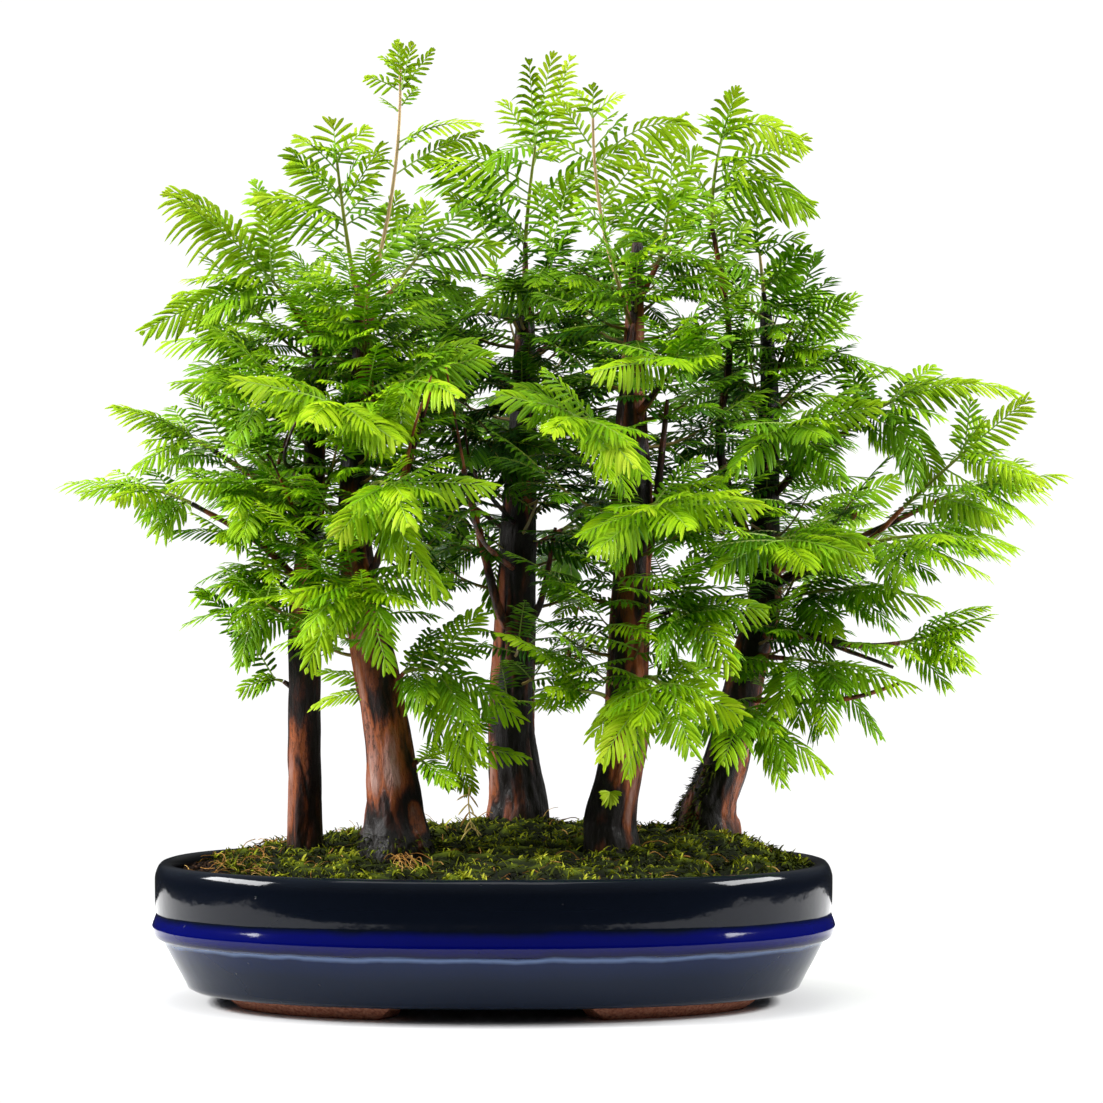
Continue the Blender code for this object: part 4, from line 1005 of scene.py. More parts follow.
def frond_tone_and_painted_shade(frond, draw):
    """Painted shade and light: fronds are deep green inside the crown and behind, bright on its
    outside, higher up and in front.
    """
    middle = frond.frame(0.6)[0] - CROWN_MIDDLE
    out = sqrt(sum((a / b) ** 2 for a, b in zip(middle, CROWN_HALF)))
    tone = (0.2 + 0.38 * min(1.15, out) - 0.001 * middle.y + 0.001 * max(0.0, middle.z)
            + 0.0009 * max(0.0, abs(middle.x) - 90.0) + draw.uniform(-0.13, 0.13))
    return min(PALEST_FROND, tone)


def build_spray(shoot, look, materials):
    """One leafy spray: its shoot with all its fronds."""
    piece = Piece()
    draw = random.Random(SEED * 500 + shoot.number)
    straw = 0.9 if shoot.number in STRAW_SHOOTS else 0.35
    steps = 8
    line = [shoot.point(shoot.stem_share * i / steps) for i in range(steps + 1)]
    radii = [SHOOT_RADIUS * (1.05 - 0.4 * i / steps) for i in range(steps + 1)]
    add_wire(piece, line, radii, straw, sides=6, finish=1)
    fronds = [frond for _, _, frond in shoot.sides]
    if shoot.last:
        fronds.append(shoot.last)
    for frond in fronds:
        add_feather(piece, frond, frond_tone_and_painted_shade(frond, draw), look, draw)
    # Painted shade: the fronds that fill the crown inside are a little darker.
    for frond in companions(shoot, look) + wood_fronds(shoot):
        add_feather(piece, frond, frond_tone_and_painted_shade(frond, draw) - 0.05, look, draw, inner=True)
    made = piece.build(f"foliage_{shoot.number:02d}_trunk_{shoot.row.trunk}", materials)
    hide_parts(shoot.name())


def add_rosette(piece, number, height, look, draw):
    """A tuft of young needles that sprouts from the front of a trunk's bark."""
    middle, radius = trunk_point(number, height)
    root = middle + Vector((-0.25 * radius, -0.95 * radius, 0.0))
    for i in range(13):
        angle = radians(-200.0 + 18.0 * i + draw.uniform(-5.0, 5.0))
        out = Vector((cos(angle), draw.uniform(-0.7, -0.2), sin(angle))).normalized()
        flat = Vector((0.0, -1.0, 0.2)).cross(out).normalized()
        add_needle(piece, root, out, flat, draw.uniform(5.0, 7.5), look.needle_width * 0.9,
                   Vector((0.0, -0.1, -0.2)), draw.uniform(0.8, 1.0), SHORT_NEEDLE_RINGS)


def climb(number, row, top, rises, front, draw):
    """Places that climb round a trunk by the golden angle: the trunk's middle and radius, the
    way out from it, the heading of what grows there, and how far below the top it is."""
    low, step, front_share = row
    height = low
    turn = draw.uniform(0.0, tau)
    while height < top:
        middle, radius = trunk_point(number, height)
        share = (top - height) / (top - low)
        height += step * draw.uniform(0.7, 1.3)
        turn += radians(GOLDEN_ANGLE) + draw.uniform(-0.4, 0.4)
        rise = radians(draw.uniform(*rises))
        out = level_way(turn)
        if out.y >= front or draw.random() <= front_share:
            yield middle, radius, out, swung(out, UP, rise), share


def build_tufts(number, look, materials):
    """Fronds that spring straight from one trunk inside the crown."""
    piece = Piece()
    draw = random.Random(SEED * 700 + number)
    top = TRUNKS[number][-1][2] - 4.0
    for middle, radius, out, heading, _ in climb(number, TUFTS[number], top, (0.0, 40.0), -0.35,
                                                 draw):
        frond = sprung_frond(middle + out * (radius * 0.9), heading, draw.uniform(30.0, 52.0),
                             draw.uniform(0.15, 0.4), draw, draw.uniform(10.0, 13.5))
        # Painted shade: fronds that spring from the trunk inside the crown are darker still.
        add_feather(piece, frond, frond_tone_and_painted_shade(frond, draw) - 0.12, look, draw, start=0.12,
                    inner=True)
    if number == ROSETTE_TRUNK:
        add_rosette(piece, number, ROSETTE_HEIGHT, look, draw)
    made = piece.build(f"tufts_trunk_{number}", materials)


def add_leafy_twig(piece, root, heading, length, look, draw):
    """A thin twig that rises from a trunk, with fronds on both sides and at its end."""
    tip = root + heading * length + UP * (0.12 * length)
    bend = root + heading * (0.55 * length) - UP * (0.1 * length)
    steps = 5
    line = [bezier(root, bend, tip, i / steps) for i in range(steps + 1)]
    add_wire(piece, line, [1.0 - 0.6 * i / steps for i in range(steps + 1)], 0.1, finish=1)
    count = max(3, round(length / 8.0))
    hand = draw.choice((-1, 1))
    for i in range(count):
        s = 0.25 + 0.7 * (i + draw.uniform(0.2, 0.8)) / count
        place = bezier(root, bend, tip, s)
        along = (bezier(root, bend, tip, min(1.0, s + 0.1))
                 - bezier(root, bend, tip, s - 0.1)).normalized()
        side = UP.cross(along).normalized()
        hand = -hand
        swing = radians(draw.uniform(40.0, 75.0))
        out = (swung(along, side * hand, swing) + UP * draw.uniform(-0.2, 0.35)).normalized()
        frond = sprung_frond(place, out, draw.uniform(28.0, 44.0), draw.uniform(0.1, 0.35), draw,
                             draw.uniform(10.0, 13.0))
        # Painted shade: the twigs' fronds inside the crown are a little darker.
        add_feather(piece, frond, frond_tone_and_painted_shade(frond, draw) - 0.04, look, draw, inner=True)
    frond = sprung_frond(tip, (tip - bend).normalized(), draw.uniform(32.0, 46.0), 0.15, draw,
                         13.0)
    add_feather(piece, frond, frond_tone_and_painted_shade(frond, draw) - 0.04, look, draw, inner=True)


@functools.cache
def stem_places():
    """Places along all shoots and woody branches: as the front view shows them, and real."""
    made = []
    for shoot in stem_growth():
        wood = smooth_route(shoot.wood, 4.0)
        stem = [shoot.point(shoot.stem_share * i / 8) for i in range(9)]
        for place in wood[len(wood) // 3:] + stem:
            spread = 1.0 + place.y / EYE_DISTANCE
            made.append((EYE.x + (place.x - EYE.x) / spread, EYE.z + (place.z - EYE.z) / spread,
                         place, shoot.row.trunk))
    return made


def fringe_fronds(number):
    """The single fronds of the front view that spring from this trunk's stems."""
    made = []
    for x, z, tip_x, tip_z, depth, needle, arch, face in FRINGE:
        _, _, root, owner = min(stem_places(),
                                key=lambda row: hypot(row[0] - x, row[1] - z))
        if owner != number:
            continue
        tip = seen(tip_x, root.y + depth, tip_z)
        reach = (tip - root).length
        bend = (root + tip) / 2 + UP * (arch * reach)
        facing = Vector((0.0, -face, 1.05 - face)).normalized()
        made.append(Frond(root, bend, tip, facing, needle))
    return made


def build_twigs(number, look, materials):
    """Leafy twigs on one trunk, which fill the crown between the sprays."""
    piece = Piece()
    draw = random.Random(SEED * 800 + number)
    top = TRUNKS[number][-1][2] - 14.0
    for middle, radius, out, heading, share in climb(number, TWIGS[number], top, (12.0, 50.0),
                                                     -0.5, draw):
        add_leafy_twig(piece, middle + out * (radius * 0.85), heading,
                       draw.uniform(20.0, 34.0) + 26.0 * share, look, draw)
    for owner, height, turn, length in VEILS:
        if owner == number:
            middle, radius = trunk_point(number, height)
            angle = radians(turn)
            out = Vector((sin(angle), -cos(angle), 0.0))
            add_leafy_twig(piece, middle + out * (radius * 0.85), (out + UP * 0.25).normalized(),
                           length, look, draw)
    for frond in fringe_fronds(number):
        add_feather(piece, frond, frond_tone_and_painted_shade(frond, draw), look, draw)
    made = piece.build(f"leafy_twigs_trunk_{number}", materials)


# Trunks with bark


def patch_and_painted_shade(number, out, height):
    """How much lighter or darker the trunk's level and the bark's patches make a place on a trunk,
    painted shade and light included.
    """
    turn = degrees(atan2(out.x, -out.y))
    light = BARK_LEVEL_AND_PAINTED_SHADE[number]
    for owner, middle, level, half_turn, half_height, change in BARK_PATCHES_AND_PAINTED_SHADE:
        if owner == number:
            across = (turn - middle) / half_turn
            up = (height - level) / half_height
            share = max(0.0, 1.0 - across * across) * max(0.0, 1.0 - up * up)
            light += change * min(1.0, 2.0 * share)
    return light


def bark_ring(place, radius, along, side, seed):
    """A ring of the trunk's surface with its plates and cracks, and the tone of each point,
    painted shade and light included.
    """
    up = side.cross(along)
    ring = []
    tones = []
    age = min(1.0, radius / 11.0)
    flare = exp(-max(0.0, place.z - 88.0) / 16.0)
    for k in range(BARK_SIDES):
        angle = tau * k / BARK_SIDES
        c = cos(angle)
        s = sin(angle)
        spot = Vector((c * radius * 0.16, s * radius * 0.16, place.z * 0.022 + seed * 7.0))
        plate = noise.noise(spot)
        spot = Vector((c * radius * 0.42, s * radius * 0.42, place.z * 0.06 + seed * 3.0))
        fine = noise.noise(spot)
        crack = max(0.0, 1.0 - abs(plate) / 0.16)
        lobes = 0.07 * flare * sin(5 * angle + seed) + 0.04 * sin(2 * angle + seed * 2.0)
        swell = 1.0 + lobes + age * (0.055 * fine - 0.06 * crack)
        out = swung(side, up, angle)
        ring.append(place + out * (radius * swell))
        # Painted shade: the bark darkens from 190 mm up, where the crown hangs over it.
        high = 0.28 * min(1.0, max(0.0, (place.z - 190.0) / 90.0))
        tone = 0.5 + 0.6 * plate - 0.4 * crack - high + patch_and_painted_shade(seed, out, place.z)
        tones.append(min(1.0, max(-0.6, tone)))
    return ring, tones


def add_trunk(piece, number):
    """A trunk's bark, closed below, with its cut top a little raised in the middle."""
    places = trunk_places(number)
    foot_place, foot_radius = places[0]
    rows = [(foot_place.x, foot_place.y, ROOT_BOTTOM, foot_radius),
            (foot_place.x, foot_place.y, foot_place.z - 4.0, foot_radius)]
    rows += [(*place, radius) for place, radius in places[1:]]
    line = smooth_line(rows, BARK_STEP)
    side = Vector((-1.0, 0.0, 0.0))
    verts = []
    tones = []
    for i, row in enumerate(line):
        ahead = Vector(line[min(i + 1, len(line) - 1)][:3])
        behind = Vector(line[max(i - 1, 0)][:3])
        along = (ahead - behind).normalized()
        side = (side - along * side.dot(along)).normalized()
        ring, ring_tones = bark_ring(Vector(row[:3]), row[3], along, side, number)
        verts += ring
        tones += ring_tones
    top = Vector(line[-1][:3])
    verts += [top + (vert - top) * 0.8 + UP * 0.5 for vert in verts[-BARK_SIDES:]]
    tones += [0.5] * BARK_SIDES
    piece.add(verts, ring_faces(len(line) + 1, BARK_SIDES, ends=True), tones)
    piece.finishes[-1] = CUT_WOOD


def add_branch(piece, route, root_radius, tip_radius, tone, draw):
    """A woody branch on a smooth curve, a little knotted."""
    line = smooth_route(route, 4.0)
    radii = [radius * draw.uniform(0.9, 1.12)
             for radius in tapered(root_radius, tip_radius, len(line))]
    add_wire(piece, line, radii, tone, sides=8)


def build_trunk(number, shoots, materials):
    piece = Piece()
    draw = random.Random(SEED * 31 + number)
    add_trunk(piece, number)
    for owner, height, radius, route in BARE_BRANCHES:
        if owner == number:
            add_branch(piece, branch_line(number, height, route), radius, 0.9, 0.12, draw)
    for shoot in shoots:
        if shoot.row.trunk == number:
            add_branch(piece, shoot.wood, branch_root_radius(shoot.row), BRANCH_TIP_RADIUS, 0.2,
                       draw)
    for owner, height, tone, places in THIN_STEMS:
        if owner == number:
            route = [trunk_point(number, height)[0]] + [seen(*place) for place in places]
            add_branch(piece, route, 1.5, 0.45, tone, draw)
    made = piece.build(f"bark_trunk_{number}", materials, smooth_angle=50)
    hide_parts(f"trunk_{number}")


# Pot


# Rings of the pot's profile from the underside over the rim to the floor inside: how far each
# lies in from the bead's crest, and its height.
POT_PROFILE = [
    (26.0, FOOT_HEIGHT), (20.0, 7.2), (17.6, 8.6), (16.6, 10.6), (13.9, 15.6), (11.0, 20.6),
    (7.9, 26.4), (5.6, 30.6), (4.7, 32.1), (3.9, 32.6), (2.4, 32.9), (1.2, 34.0), (0.4, 36.0),
    (0.0, BEAD_HEIGHT), (0.15, 39.2), (0.55, 40.6), (1.15, 42.2), (1.75, 43.8), (2.0, 45.0),
    (1.95, 46.4), (1.75, 48.5), (1.6, 51.0), (1.5, 55.0), (1.45, 59.0), (1.45, 61.5),
    (1.5, 63.0), (1.72, 64.2), (2.1, 65.5), (2.6, 66.8), (3.25, 68.1), (4.2, 69.2),
    (5.8, POT_HEIGHT), (7.6, POT_HEIGHT), (9.4, 69.2), (10.6, 67.8), (11.0, 65.4), (12.2, 55.0),
    (13.5, 45.0), (17.0, 32.0), (22.0, 20.0), (25.0, 16.4), (28.0, FLOOR_TOP),
]


def activate(made):
    bpy.ops.object.select_all(action="DESELECT")
    made.select_set(True)
    bpy.context.view_layer.objects.active = made


def apply_modifier(made, kind, **settings):
    activate(made)
    modifier = made.modifiers.new(kind.title(), kind)
    for name, value in settings.items():
        setattr(modifier, name, value)
    bpy.ops.object.modifier_apply(modifier=modifier.name)


def settle_place(made):
    """Puts the object's place into its mesh, so that the object sits at the origin."""
    activate(made)
    bpy.ops.object.transform_apply(location=True, rotation=True, scale=True)


def turn_faces_out():
    """Makes all the active object's faces point outwards."""
    bpy.ops.object.mode_set(mode="EDIT")
    bpy.ops.mesh.select_all(action="SELECT")
    bpy.ops.mesh.normals_make_consistent(inside=False)
    bpy.ops.object.mode_set(mode="OBJECT")


def pot_size(inset):
    return POT_LENGTH / 2 - inset, POT_DEPTH / 2 - inset


def model_pot_wall():
    """The pot's wall: an oval ring drawn up ring by ring along the profile."""
    bpy.ops.mesh.primitive_circle_add(vertices=POT_POINTS, radius=1.0, fill_type="NOTHING")
    wall = bpy.context.object
    wall.name = "pot_glazed"
    half_length, half_depth = pot_size(POT_PROFILE[0][0])
    for k, vert in enumerate(wall.data.vertices):
        x, y = oval(tau * k / POT_POINTS, half_length, half_depth)
        vert.co = Vector((POT_X + x, y, POT_PROFILE[0][1])) * MM
    bpy.ops.object.mode_set(mode="EDIT")
    bpy.ops.mesh.select_all(action="SELECT")
    bpy.ops.mesh.edge_face_add()
    bpy.ops.mesh.select_mode(type="EDGE")
    bpy.ops.mesh.select_all(action="SELECT")
    centre = Vector((POT_X, 0.0, 0.0)) * MM
    for (inset, height), (next_inset, next_height) in zip(POT_PROFILE, POT_PROFILE[1:]):
        here = pot_size(inset)
        there = pot_size(next_inset)
        bpy.ops.mesh.extrude_edges_move(
            TRANSFORM_OT_translate={"value": (0.0, 0.0, (next_height - height) * MM)})
        bpy.ops.transform.resize(value=(there[0] / here[0], there[1] / here[1], 1.0),
                                 center_override=centre)
    bpy.ops.mesh.edge_face_add()
    bpy.ops.object.mode_set(mode="OBJECT")
    turn_faces_out()
    return wall


def model_foot(mirror_x, mirror_y):
    """One foot: a block bent along the base's oval, its outer face and ends sloping in."""
    bpy.ops.mesh.primitive_cube_add(size=1.0)
    foot = bpy.context.object
    bpy.ops.object.mode_set(mode="EDIT")
    bpy.ops.mesh.select_all(action="SELECT")
    bpy.ops.mesh.subdivide(number_cuts=11)
    bpy.ops.object.mode_set(mode="OBJECT")
    for vert in foot.data.vertices:
        along, across, up = (c + 0.5 for c in vert.co)
        start = 0.41 - 0.09 * up
        end = 0.93 + 0.02 * up
        share = start + (end - start) * along
        depth = (1.0 - share ** OVAL_POWER) ** (1.0 / OVAL_POWER)
        half_length = 132.0 + 10.0 * up - 20.0 * across
        half_depth = 97.0 + 7.0 * up - 20.0 * across
        round_off = 0.6 * (1.0 - up) ** 8
        height = (FOOT_HEIGHT + 2.0) * up
        vert.co = Vector((POT_X + (half_length - round_off) * share * mirror_x,
                          (half_depth - round_off) * depth * mirror_y, height)) * MM
    return foot


def build_pot(glaze, clay):
    wall = model_pot_wall()
    wall.data.materials.append(glaze)
    wall.data.materials.append(clay)
    feet = [model_foot(mx, my) for mx in (-1, 1) for my in (-1, 1)]
    activate(wall)
    for foot in feet:
        foot.data.materials.append(clay)
        foot.select_set(True)
    bpy.ops.object.join()
    for side in (-1, 1):
        place = (POT_X + side * DRAIN_HOLE_SPAN / 2, 0.0, FLOOR_TOP / 2 + FOOT_HEIGHT / 2)
        bpy.ops.object.select_all(action="DESELECT")
        bpy.ops.mesh.primitive_cylinder_add(vertices=32, radius=DRAIN_HOLE_RADIUS * MM,
                                            depth=20.0 * MM, location=Vector(place) * MM)
        cutter = bpy.context.object
        cutter.data.materials.append(clay)
        apply_modifier(wall, "BOOLEAN", operation="DIFFERENCE", object=cutter, solver="MANIFOLD")
        bpy.data.objects.remove(cutter, do_unlink=True)
    settle_place(wall)
    turn_faces_out()
    bpy.ops.object.shade_smooth_by_angle(angle=radians(50.0))
    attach(wall, "root")
    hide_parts("pot")


# Soil and moss


def moss_outline(angle, share):
    x, y = oval(angle, MOSS_HALF_LENGTH * share, MOSS_HALF_DEPTH * share)
    if x < 0:
        x *= MOSS_LEFT_SHARE
    return x + POT_X + MOSS_SHIFT, y


def cushions(x, y):
    """How far a place rises on the wide and on the small cushions of moss."""
    return (noise.noise(Vector((x / 17.0, y / 17.0, 3.0))),
            noise.noise(Vector((x / 6.5, y / 6.5, 8.0))))


def moss_height(x, y):
    """Cushions of two sizes on the mound."""
    lumps, buns = cushions(x, y)
    return mound(x, y) - 1.8 + 4.2 * lumps + 2.4 * buns


def build_moss_bed(material):
    """The carpet under the moss strands, closed below by the soil's surface."""
    piece = Piece()
    below = (0.15, 0.6, 0.99)
    above = [1.0, 0.985] + [0.96 - 0.02 * i for i in range(48)]
    verts = []
    for row, share in enumerate((*below, *above)):
        sunk = 4.0 * max(0.0, (share - 0.93) / 0.07)
        for k in range(MOSS_POINTS):
            x, y = moss_outline(tau * k / MOSS_POINTS, share)
            height = mound(x, y) - MOSS_DEPTH + TOUCH_GAP
            if row >= len(below):
                height = max(mound(x, y) - MOSS_DEPTH + 1.0, moss_height(x, y) - sunk)
            verts.append(Vector((x, y, height)))
    # Painted shade: the carpet is darker in the hollows between its cushions and lighter on them.
    tones = []
    for vert in verts:
        lumps, buns = cushions(vert.x, vert.y)
        tones.append(0.3 + 0.5 * lumps + 0.7 * buns)
    rings = len(below) + len(above)
    piece.add(verts, ring_faces(rings, MOSS_POINTS, ends=True), tones)
    made = piece.build("moss_bed", [material], smooth_angle=80)
    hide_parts("moss")


def moss_place(draw, inner=0.0, outer=1.0):
    """An even draw over the moss carpet."""
    share = sqrt(draw.uniform(inner ** 2, outer ** 2))
    return moss_outline(draw.uniform(0.0, tau), share)


def near_trunk(x, y, spare):
    for number in TRUNKS:
        foot_place, radius = trunk_places(number)[1]
        if hypot(x - foot_place.x, y - foot_place.y) < radius + spare:
            return True
    return False


def add_strand(piece, root, heading, length, width, sag, tone, segments=3):
    """A tapering strand that bends over under its own weight."""
    side = heading.cross(Vector((0.3, 0.2, 1.0)))
    side.normalize()
    verts = []
    for i in range(segments):
        t = i / segments
        middle = root + heading * (length * t) - UP * (sag * length * t * t)
        half = side * (width / 2 * (1.0 - 0.45 * t))
        verts += [middle - half, middle + half, middle + heading.cross(side) * (width * 0.3)]
    verts.append(root + heading * length - UP * (sag * length))
    faces = [(0, 2, 1)] + ring_faces(segments, 3)
    last = 3 * (segments - 1)
    faces += [(last + k, last + (k + 1) % 3, last + 3) for k in range(3)]
    # The strand is darker at its root, as painted shade, and lighter at its tip.
    piece.add(verts, faces, [tone - 0.15] * 3 + [tone] * (len(verts) - 4) + [tone + 0.12])


def moss_tone_and_painted_shade(x, y, draw):
    """Painted light and shade: bright cushions and dark hollows, with patches a few centimetres
    across.
    """
    lumps, buns = cushions(x, y)
    patch = noise.noise(Vector((x / 26.0, y / 26.0, 20.0)))
    return 0.32 + 0.4 * patch + 0.55 * lumps + 0.65 * buns + draw.uniform(-0.18, 0.18)


def build_moss_strands(look, material):
    """Short strands and feathery shoots all over the carpet, denser on its cushions."""
    piece = Piece()
    draw = random.Random(SEED * 9)
    for _ in range(look.moss_strands):
        x, y = moss_place(draw, outer=1.01)
        if near_trunk(x, y, -2.0):
            continue
        turn = draw.uniform(0.0, tau)
        lean = radians(draw.uniform(20.0, 82.0))
        heading = Vector((cos(turn) * sin(lean), sin(turn) * sin(lean), cos(lean)))
        root = Vector((x, y, moss_height(x, y) - 0.8))
        # Painted light: strands that stand upright are lighter than those that lean over.
        tone = moss_tone_and_painted_shade(x, y, draw) + 0.2 * cos(lean) - 0.06
        if draw.random() < 0.5:
            add_strand(piece, root, heading, draw.uniform(4.5, 9.5), draw.uniform(0.9, 1.5),
                       draw.uniform(0.25, 0.8), tone)
        else:
            add_strand(piece, root, heading, draw.uniform(2.5, 5.0), draw.uniform(1.0, 1.8),
                       draw.uniform(0.1, 0.6), tone, segments=2)
    for number, left, right, low, high, count in CLIMBING_MOSS:
        for _ in range(count):
            height = low + (high - low) * draw.random() ** 1.6
            middle, radius = trunk_point(number, height)
            out = level_way(radians(draw.uniform(left, right)))
            heading = (out + UP * draw.uniform(-0.6, 1.0)).normalized()
            add_strand(piece, middle + out * (radius * 0.98), heading, draw.uniform(2.5, 5.5),
                       draw.uniform(0.8, 1.3), draw.uniform(0.3, 0.8), draw.uniform(0.1, 0.55))
    made = piece.build("moss_strands", [material])


def curl(draw, root, length, sag, steps=6):
    """A wiry curved line from a root."""
    turn = draw.uniform(0.0, tau)
    heading = Vector((cos(turn), sin(turn), draw.uniform(0.2, 0.9))).normalized()
    line = [root]
    for _ in range(steps):
        wander = Vector([draw.uniform(-0.5, 0.5) for _ in range(3)])
        heading = (heading + wander * 0.7 - UP * sag).normalized()
        line.append(line[-1] + heading * (length / steps))
    return line


def build_rootlets(material):
    """Dead brown rootlets and stalks that lie over the moss and the bare soil."""
    piece = Piece()
    draw = random.Random(SEED * 13)
    for i in range(ROOTLETS):
        x, y = moss_place(draw, inner=0.2, outer=0.98)
        if i < ROOTLETS_ON_SOIL:
            x = POT_X - draw.uniform(108.0, 152.0)
            y = draw.uniform(-85.0, 85.0)
        if near_trunk(x, y, 2.0) or not inside_pot(x, y, 16.0):
            continue
        root = Vector((x, y, moss_height(x, y) + 0.5))
        line = [Vector((p.x, p.y, max(p.z, mound(p.x, p.y) - 3.0)))
                for p in curl(draw, root, draw.uniform(6.0, 15.0), 0.22)]
        add_wire(piece, line, [draw.uniform(0.15, 0.3)] * len(line), draw.uniform(0.1, 0.95), 3)
    # A wad of them before the thick trunk's foot, out to the front rim
    for _ in range(ROOTLETS_AT_RIM):
        start = seen(draw.uniform(-90.0, -74.0), draw.uniform(-112.0, -106.0), 70.0)
        end = seen(draw.uniform(-86.0, -64.0), -123.5, draw.uniform(66.5, 70.0))
        middle = (start + end) / 2 + Vector((draw.uniform(-3, 3), 0.0, draw.uniform(2.0, 4.5)))
        over = end + Vector((draw.uniform(-1, 3), -1.6, draw.uniform(-3.0, -0.5)))
        line = smooth_route((start, middle, end, over), 2.5)
        add_wire(piece, line, [0.2] * len(line), draw.uniform(0.3, 1.0), 3)
    made = piece.build("dead_rootlets", [material])


def inside_pot(x, y, inset):
    half_length, half_depth = pot_size(inset)
    return (abs((x - POT_X) / half_length) ** OVAL_POWER
            + abs(y / half_depth) ** OVAL_POWER) < 1.0


def soil_height(x, y):
    return mound(x, y) - MOSS_DEPTH + 0.8 * noise.noise(Vector((x / 5.0, y / 5.0, 2.0)))


def build_soil_crumbs(material):
    """Crumbs of soil and grit in the bare strip and round the moss's edge."""
    bpy.ops.object.select_all(action="DESELECT")
    bpy.ops.mesh.primitive_ico_sphere_add(subdivisions=1, radius=1.0)
    pattern = bpy.context.object
    points = [v.co.copy() for v in pattern.data.vertices]
    faces = [tuple(p.vertices) for p in pattern.data.polygons]
    bpy.data.objects.remove(pattern, do_unlink=True)
    piece = Piece()
    draw = random.Random(SEED * 17)
    while len(piece.verts) < SOIL_CRUMBS * len(points):
        x = POT_X + draw.uniform(-SOIL_HALF_LENGTH, SOIL_HALF_LENGTH)
        y = draw.uniform(-SOIL_HALF_DEPTH, SOIL_HALF_DEPTH)
        if x > POT_X - BARE_STRIP_FROM and draw.random() < 0.8:
            continue
        if moss_share(x, y) < 0.93 or not inside_pot(x, y, 12.0):
            continue
        size = draw.uniform(0.7, 1.7)
        stretch = Vector([draw.uniform(0.7, 1.3) for _ in range(3)])
        place = Vector((x, y, min(soil_height(x, y), 65.0) + 0.2 * size))
        verts = [place + Vector([p[i] * stretch[i] * size * draw.uniform(0.85, 1.15)
                                 for i in range(3)]) for p in points]
        piece.add(verts, faces, draw.uniform(0.0, 1.0))
    made = piece.build("soil_crumbs", [material])


def moss_share(x, y):
    """How far out a place lies on the moss carpet: 1 at its edge."""
    dx = x - POT_X - MOSS_SHIFT
    if dx < 0:
        dx /= MOSS_LEFT_SHARE
    return (abs(dx / MOSS_HALF_LENGTH) ** OVAL_POWER
            + abs(y / MOSS_HALF_DEPTH) ** OVAL_POWER) ** (1.0 / OVAL_POWER)


# Small dead and hanging bits


def add_bud(piece, place, heading, length, radius, tone):
    heading = heading.normalized()
    line = [place + heading * (length * t) for t in (0.0, 0.3, 0.65, 1.0)]
    add_wire(piece, line, [radius * r for r in (0.7, 1.0, 0.85, 0.25)], tone, sides=8)


def build_bud_stubs(material):
    """Stubby buds on the thin branches, and a cluster of dry ones at the end of a bare twig."""
    piece = Piece()
    for place, heading in BUDS:
        add_bud(piece, seen(*place), Vector(heading), 5.0, 1.5, 0.4)
    draw = random.Random(SEED * 23)
    for _ in range(DRY_BUDS):
        heading = Vector((draw.uniform(-1.0, 1.0), draw.uniform(-1.0, 0.4),
                          draw.uniform(-0.2, 1.0)))
        add_bud(piece, seen(*DRY_BUDS_PLACE), heading, draw.uniform(4.5, 7.0), 0.9, 0.05)
    made = piece.build("bud_stubs", [material], smooth_angle=60)


def add_withered(piece, places, needle, spacing, tone, draw):
    """A dead sprig: a thin stalk with thin curled needles."""
    line = smooth_route(places, 2.0)
    add_wire(piece, line, [0.45 - 0.2 * i / len(line) for i in range(len(line))], tone, sides=4)
    distance = 0.0
    for a, b in zip(line, line[1:]):
        distance += (b - a).length
        if distance < spacing:
            continue
        distance = 0.0
        along = (b - a).normalized()
        for hand in (-1, 1):
            side = along.cross(Vector((0, -1, 0.3))).normalized() * hand
            out = (along * 0.8 + side + Vector([draw.uniform(-0.4, 0.4) for _ in range(3)]))
            flat = Vector((0.2, -1.0, 0.3)).cross(out).normalized()
            add_needle(piece, b, out.normalized(), flat, needle * draw.uniform(0.6, 1.1), 0.9,
                       UP * -draw.uniform(0.1, 0.6), tone + draw.uniform(-0.2, 0.2))


def build_withered(material):
    """The withered sprigs that the photo shows."""
    piece = Piece()
    draw = random.Random(SEED * 19)
    for needle, spacing, tone, places in WITHERED_SPRIGS:
        add_withered(piece, [seen(*place) for place in places], needle, spacing, tone, draw)
    made = piece.build("withered_sprigs", [material])


# Finishes


# Sizes of the finishes' patterns and the heights between which the trunks' damp feet end, in
# millimetres.
NEEDLE_PATCH = 22.0
BARK_PLATE = 12.0
BARK_FIBRE = 3.2
GLAZE_WASH = 30.0
GLAZE_WAVE = 12.0
GLAZE_PIT = 11.0
CLAY_GRIT = 1.6
DAMP_FOOT = (92.0, 105.0)

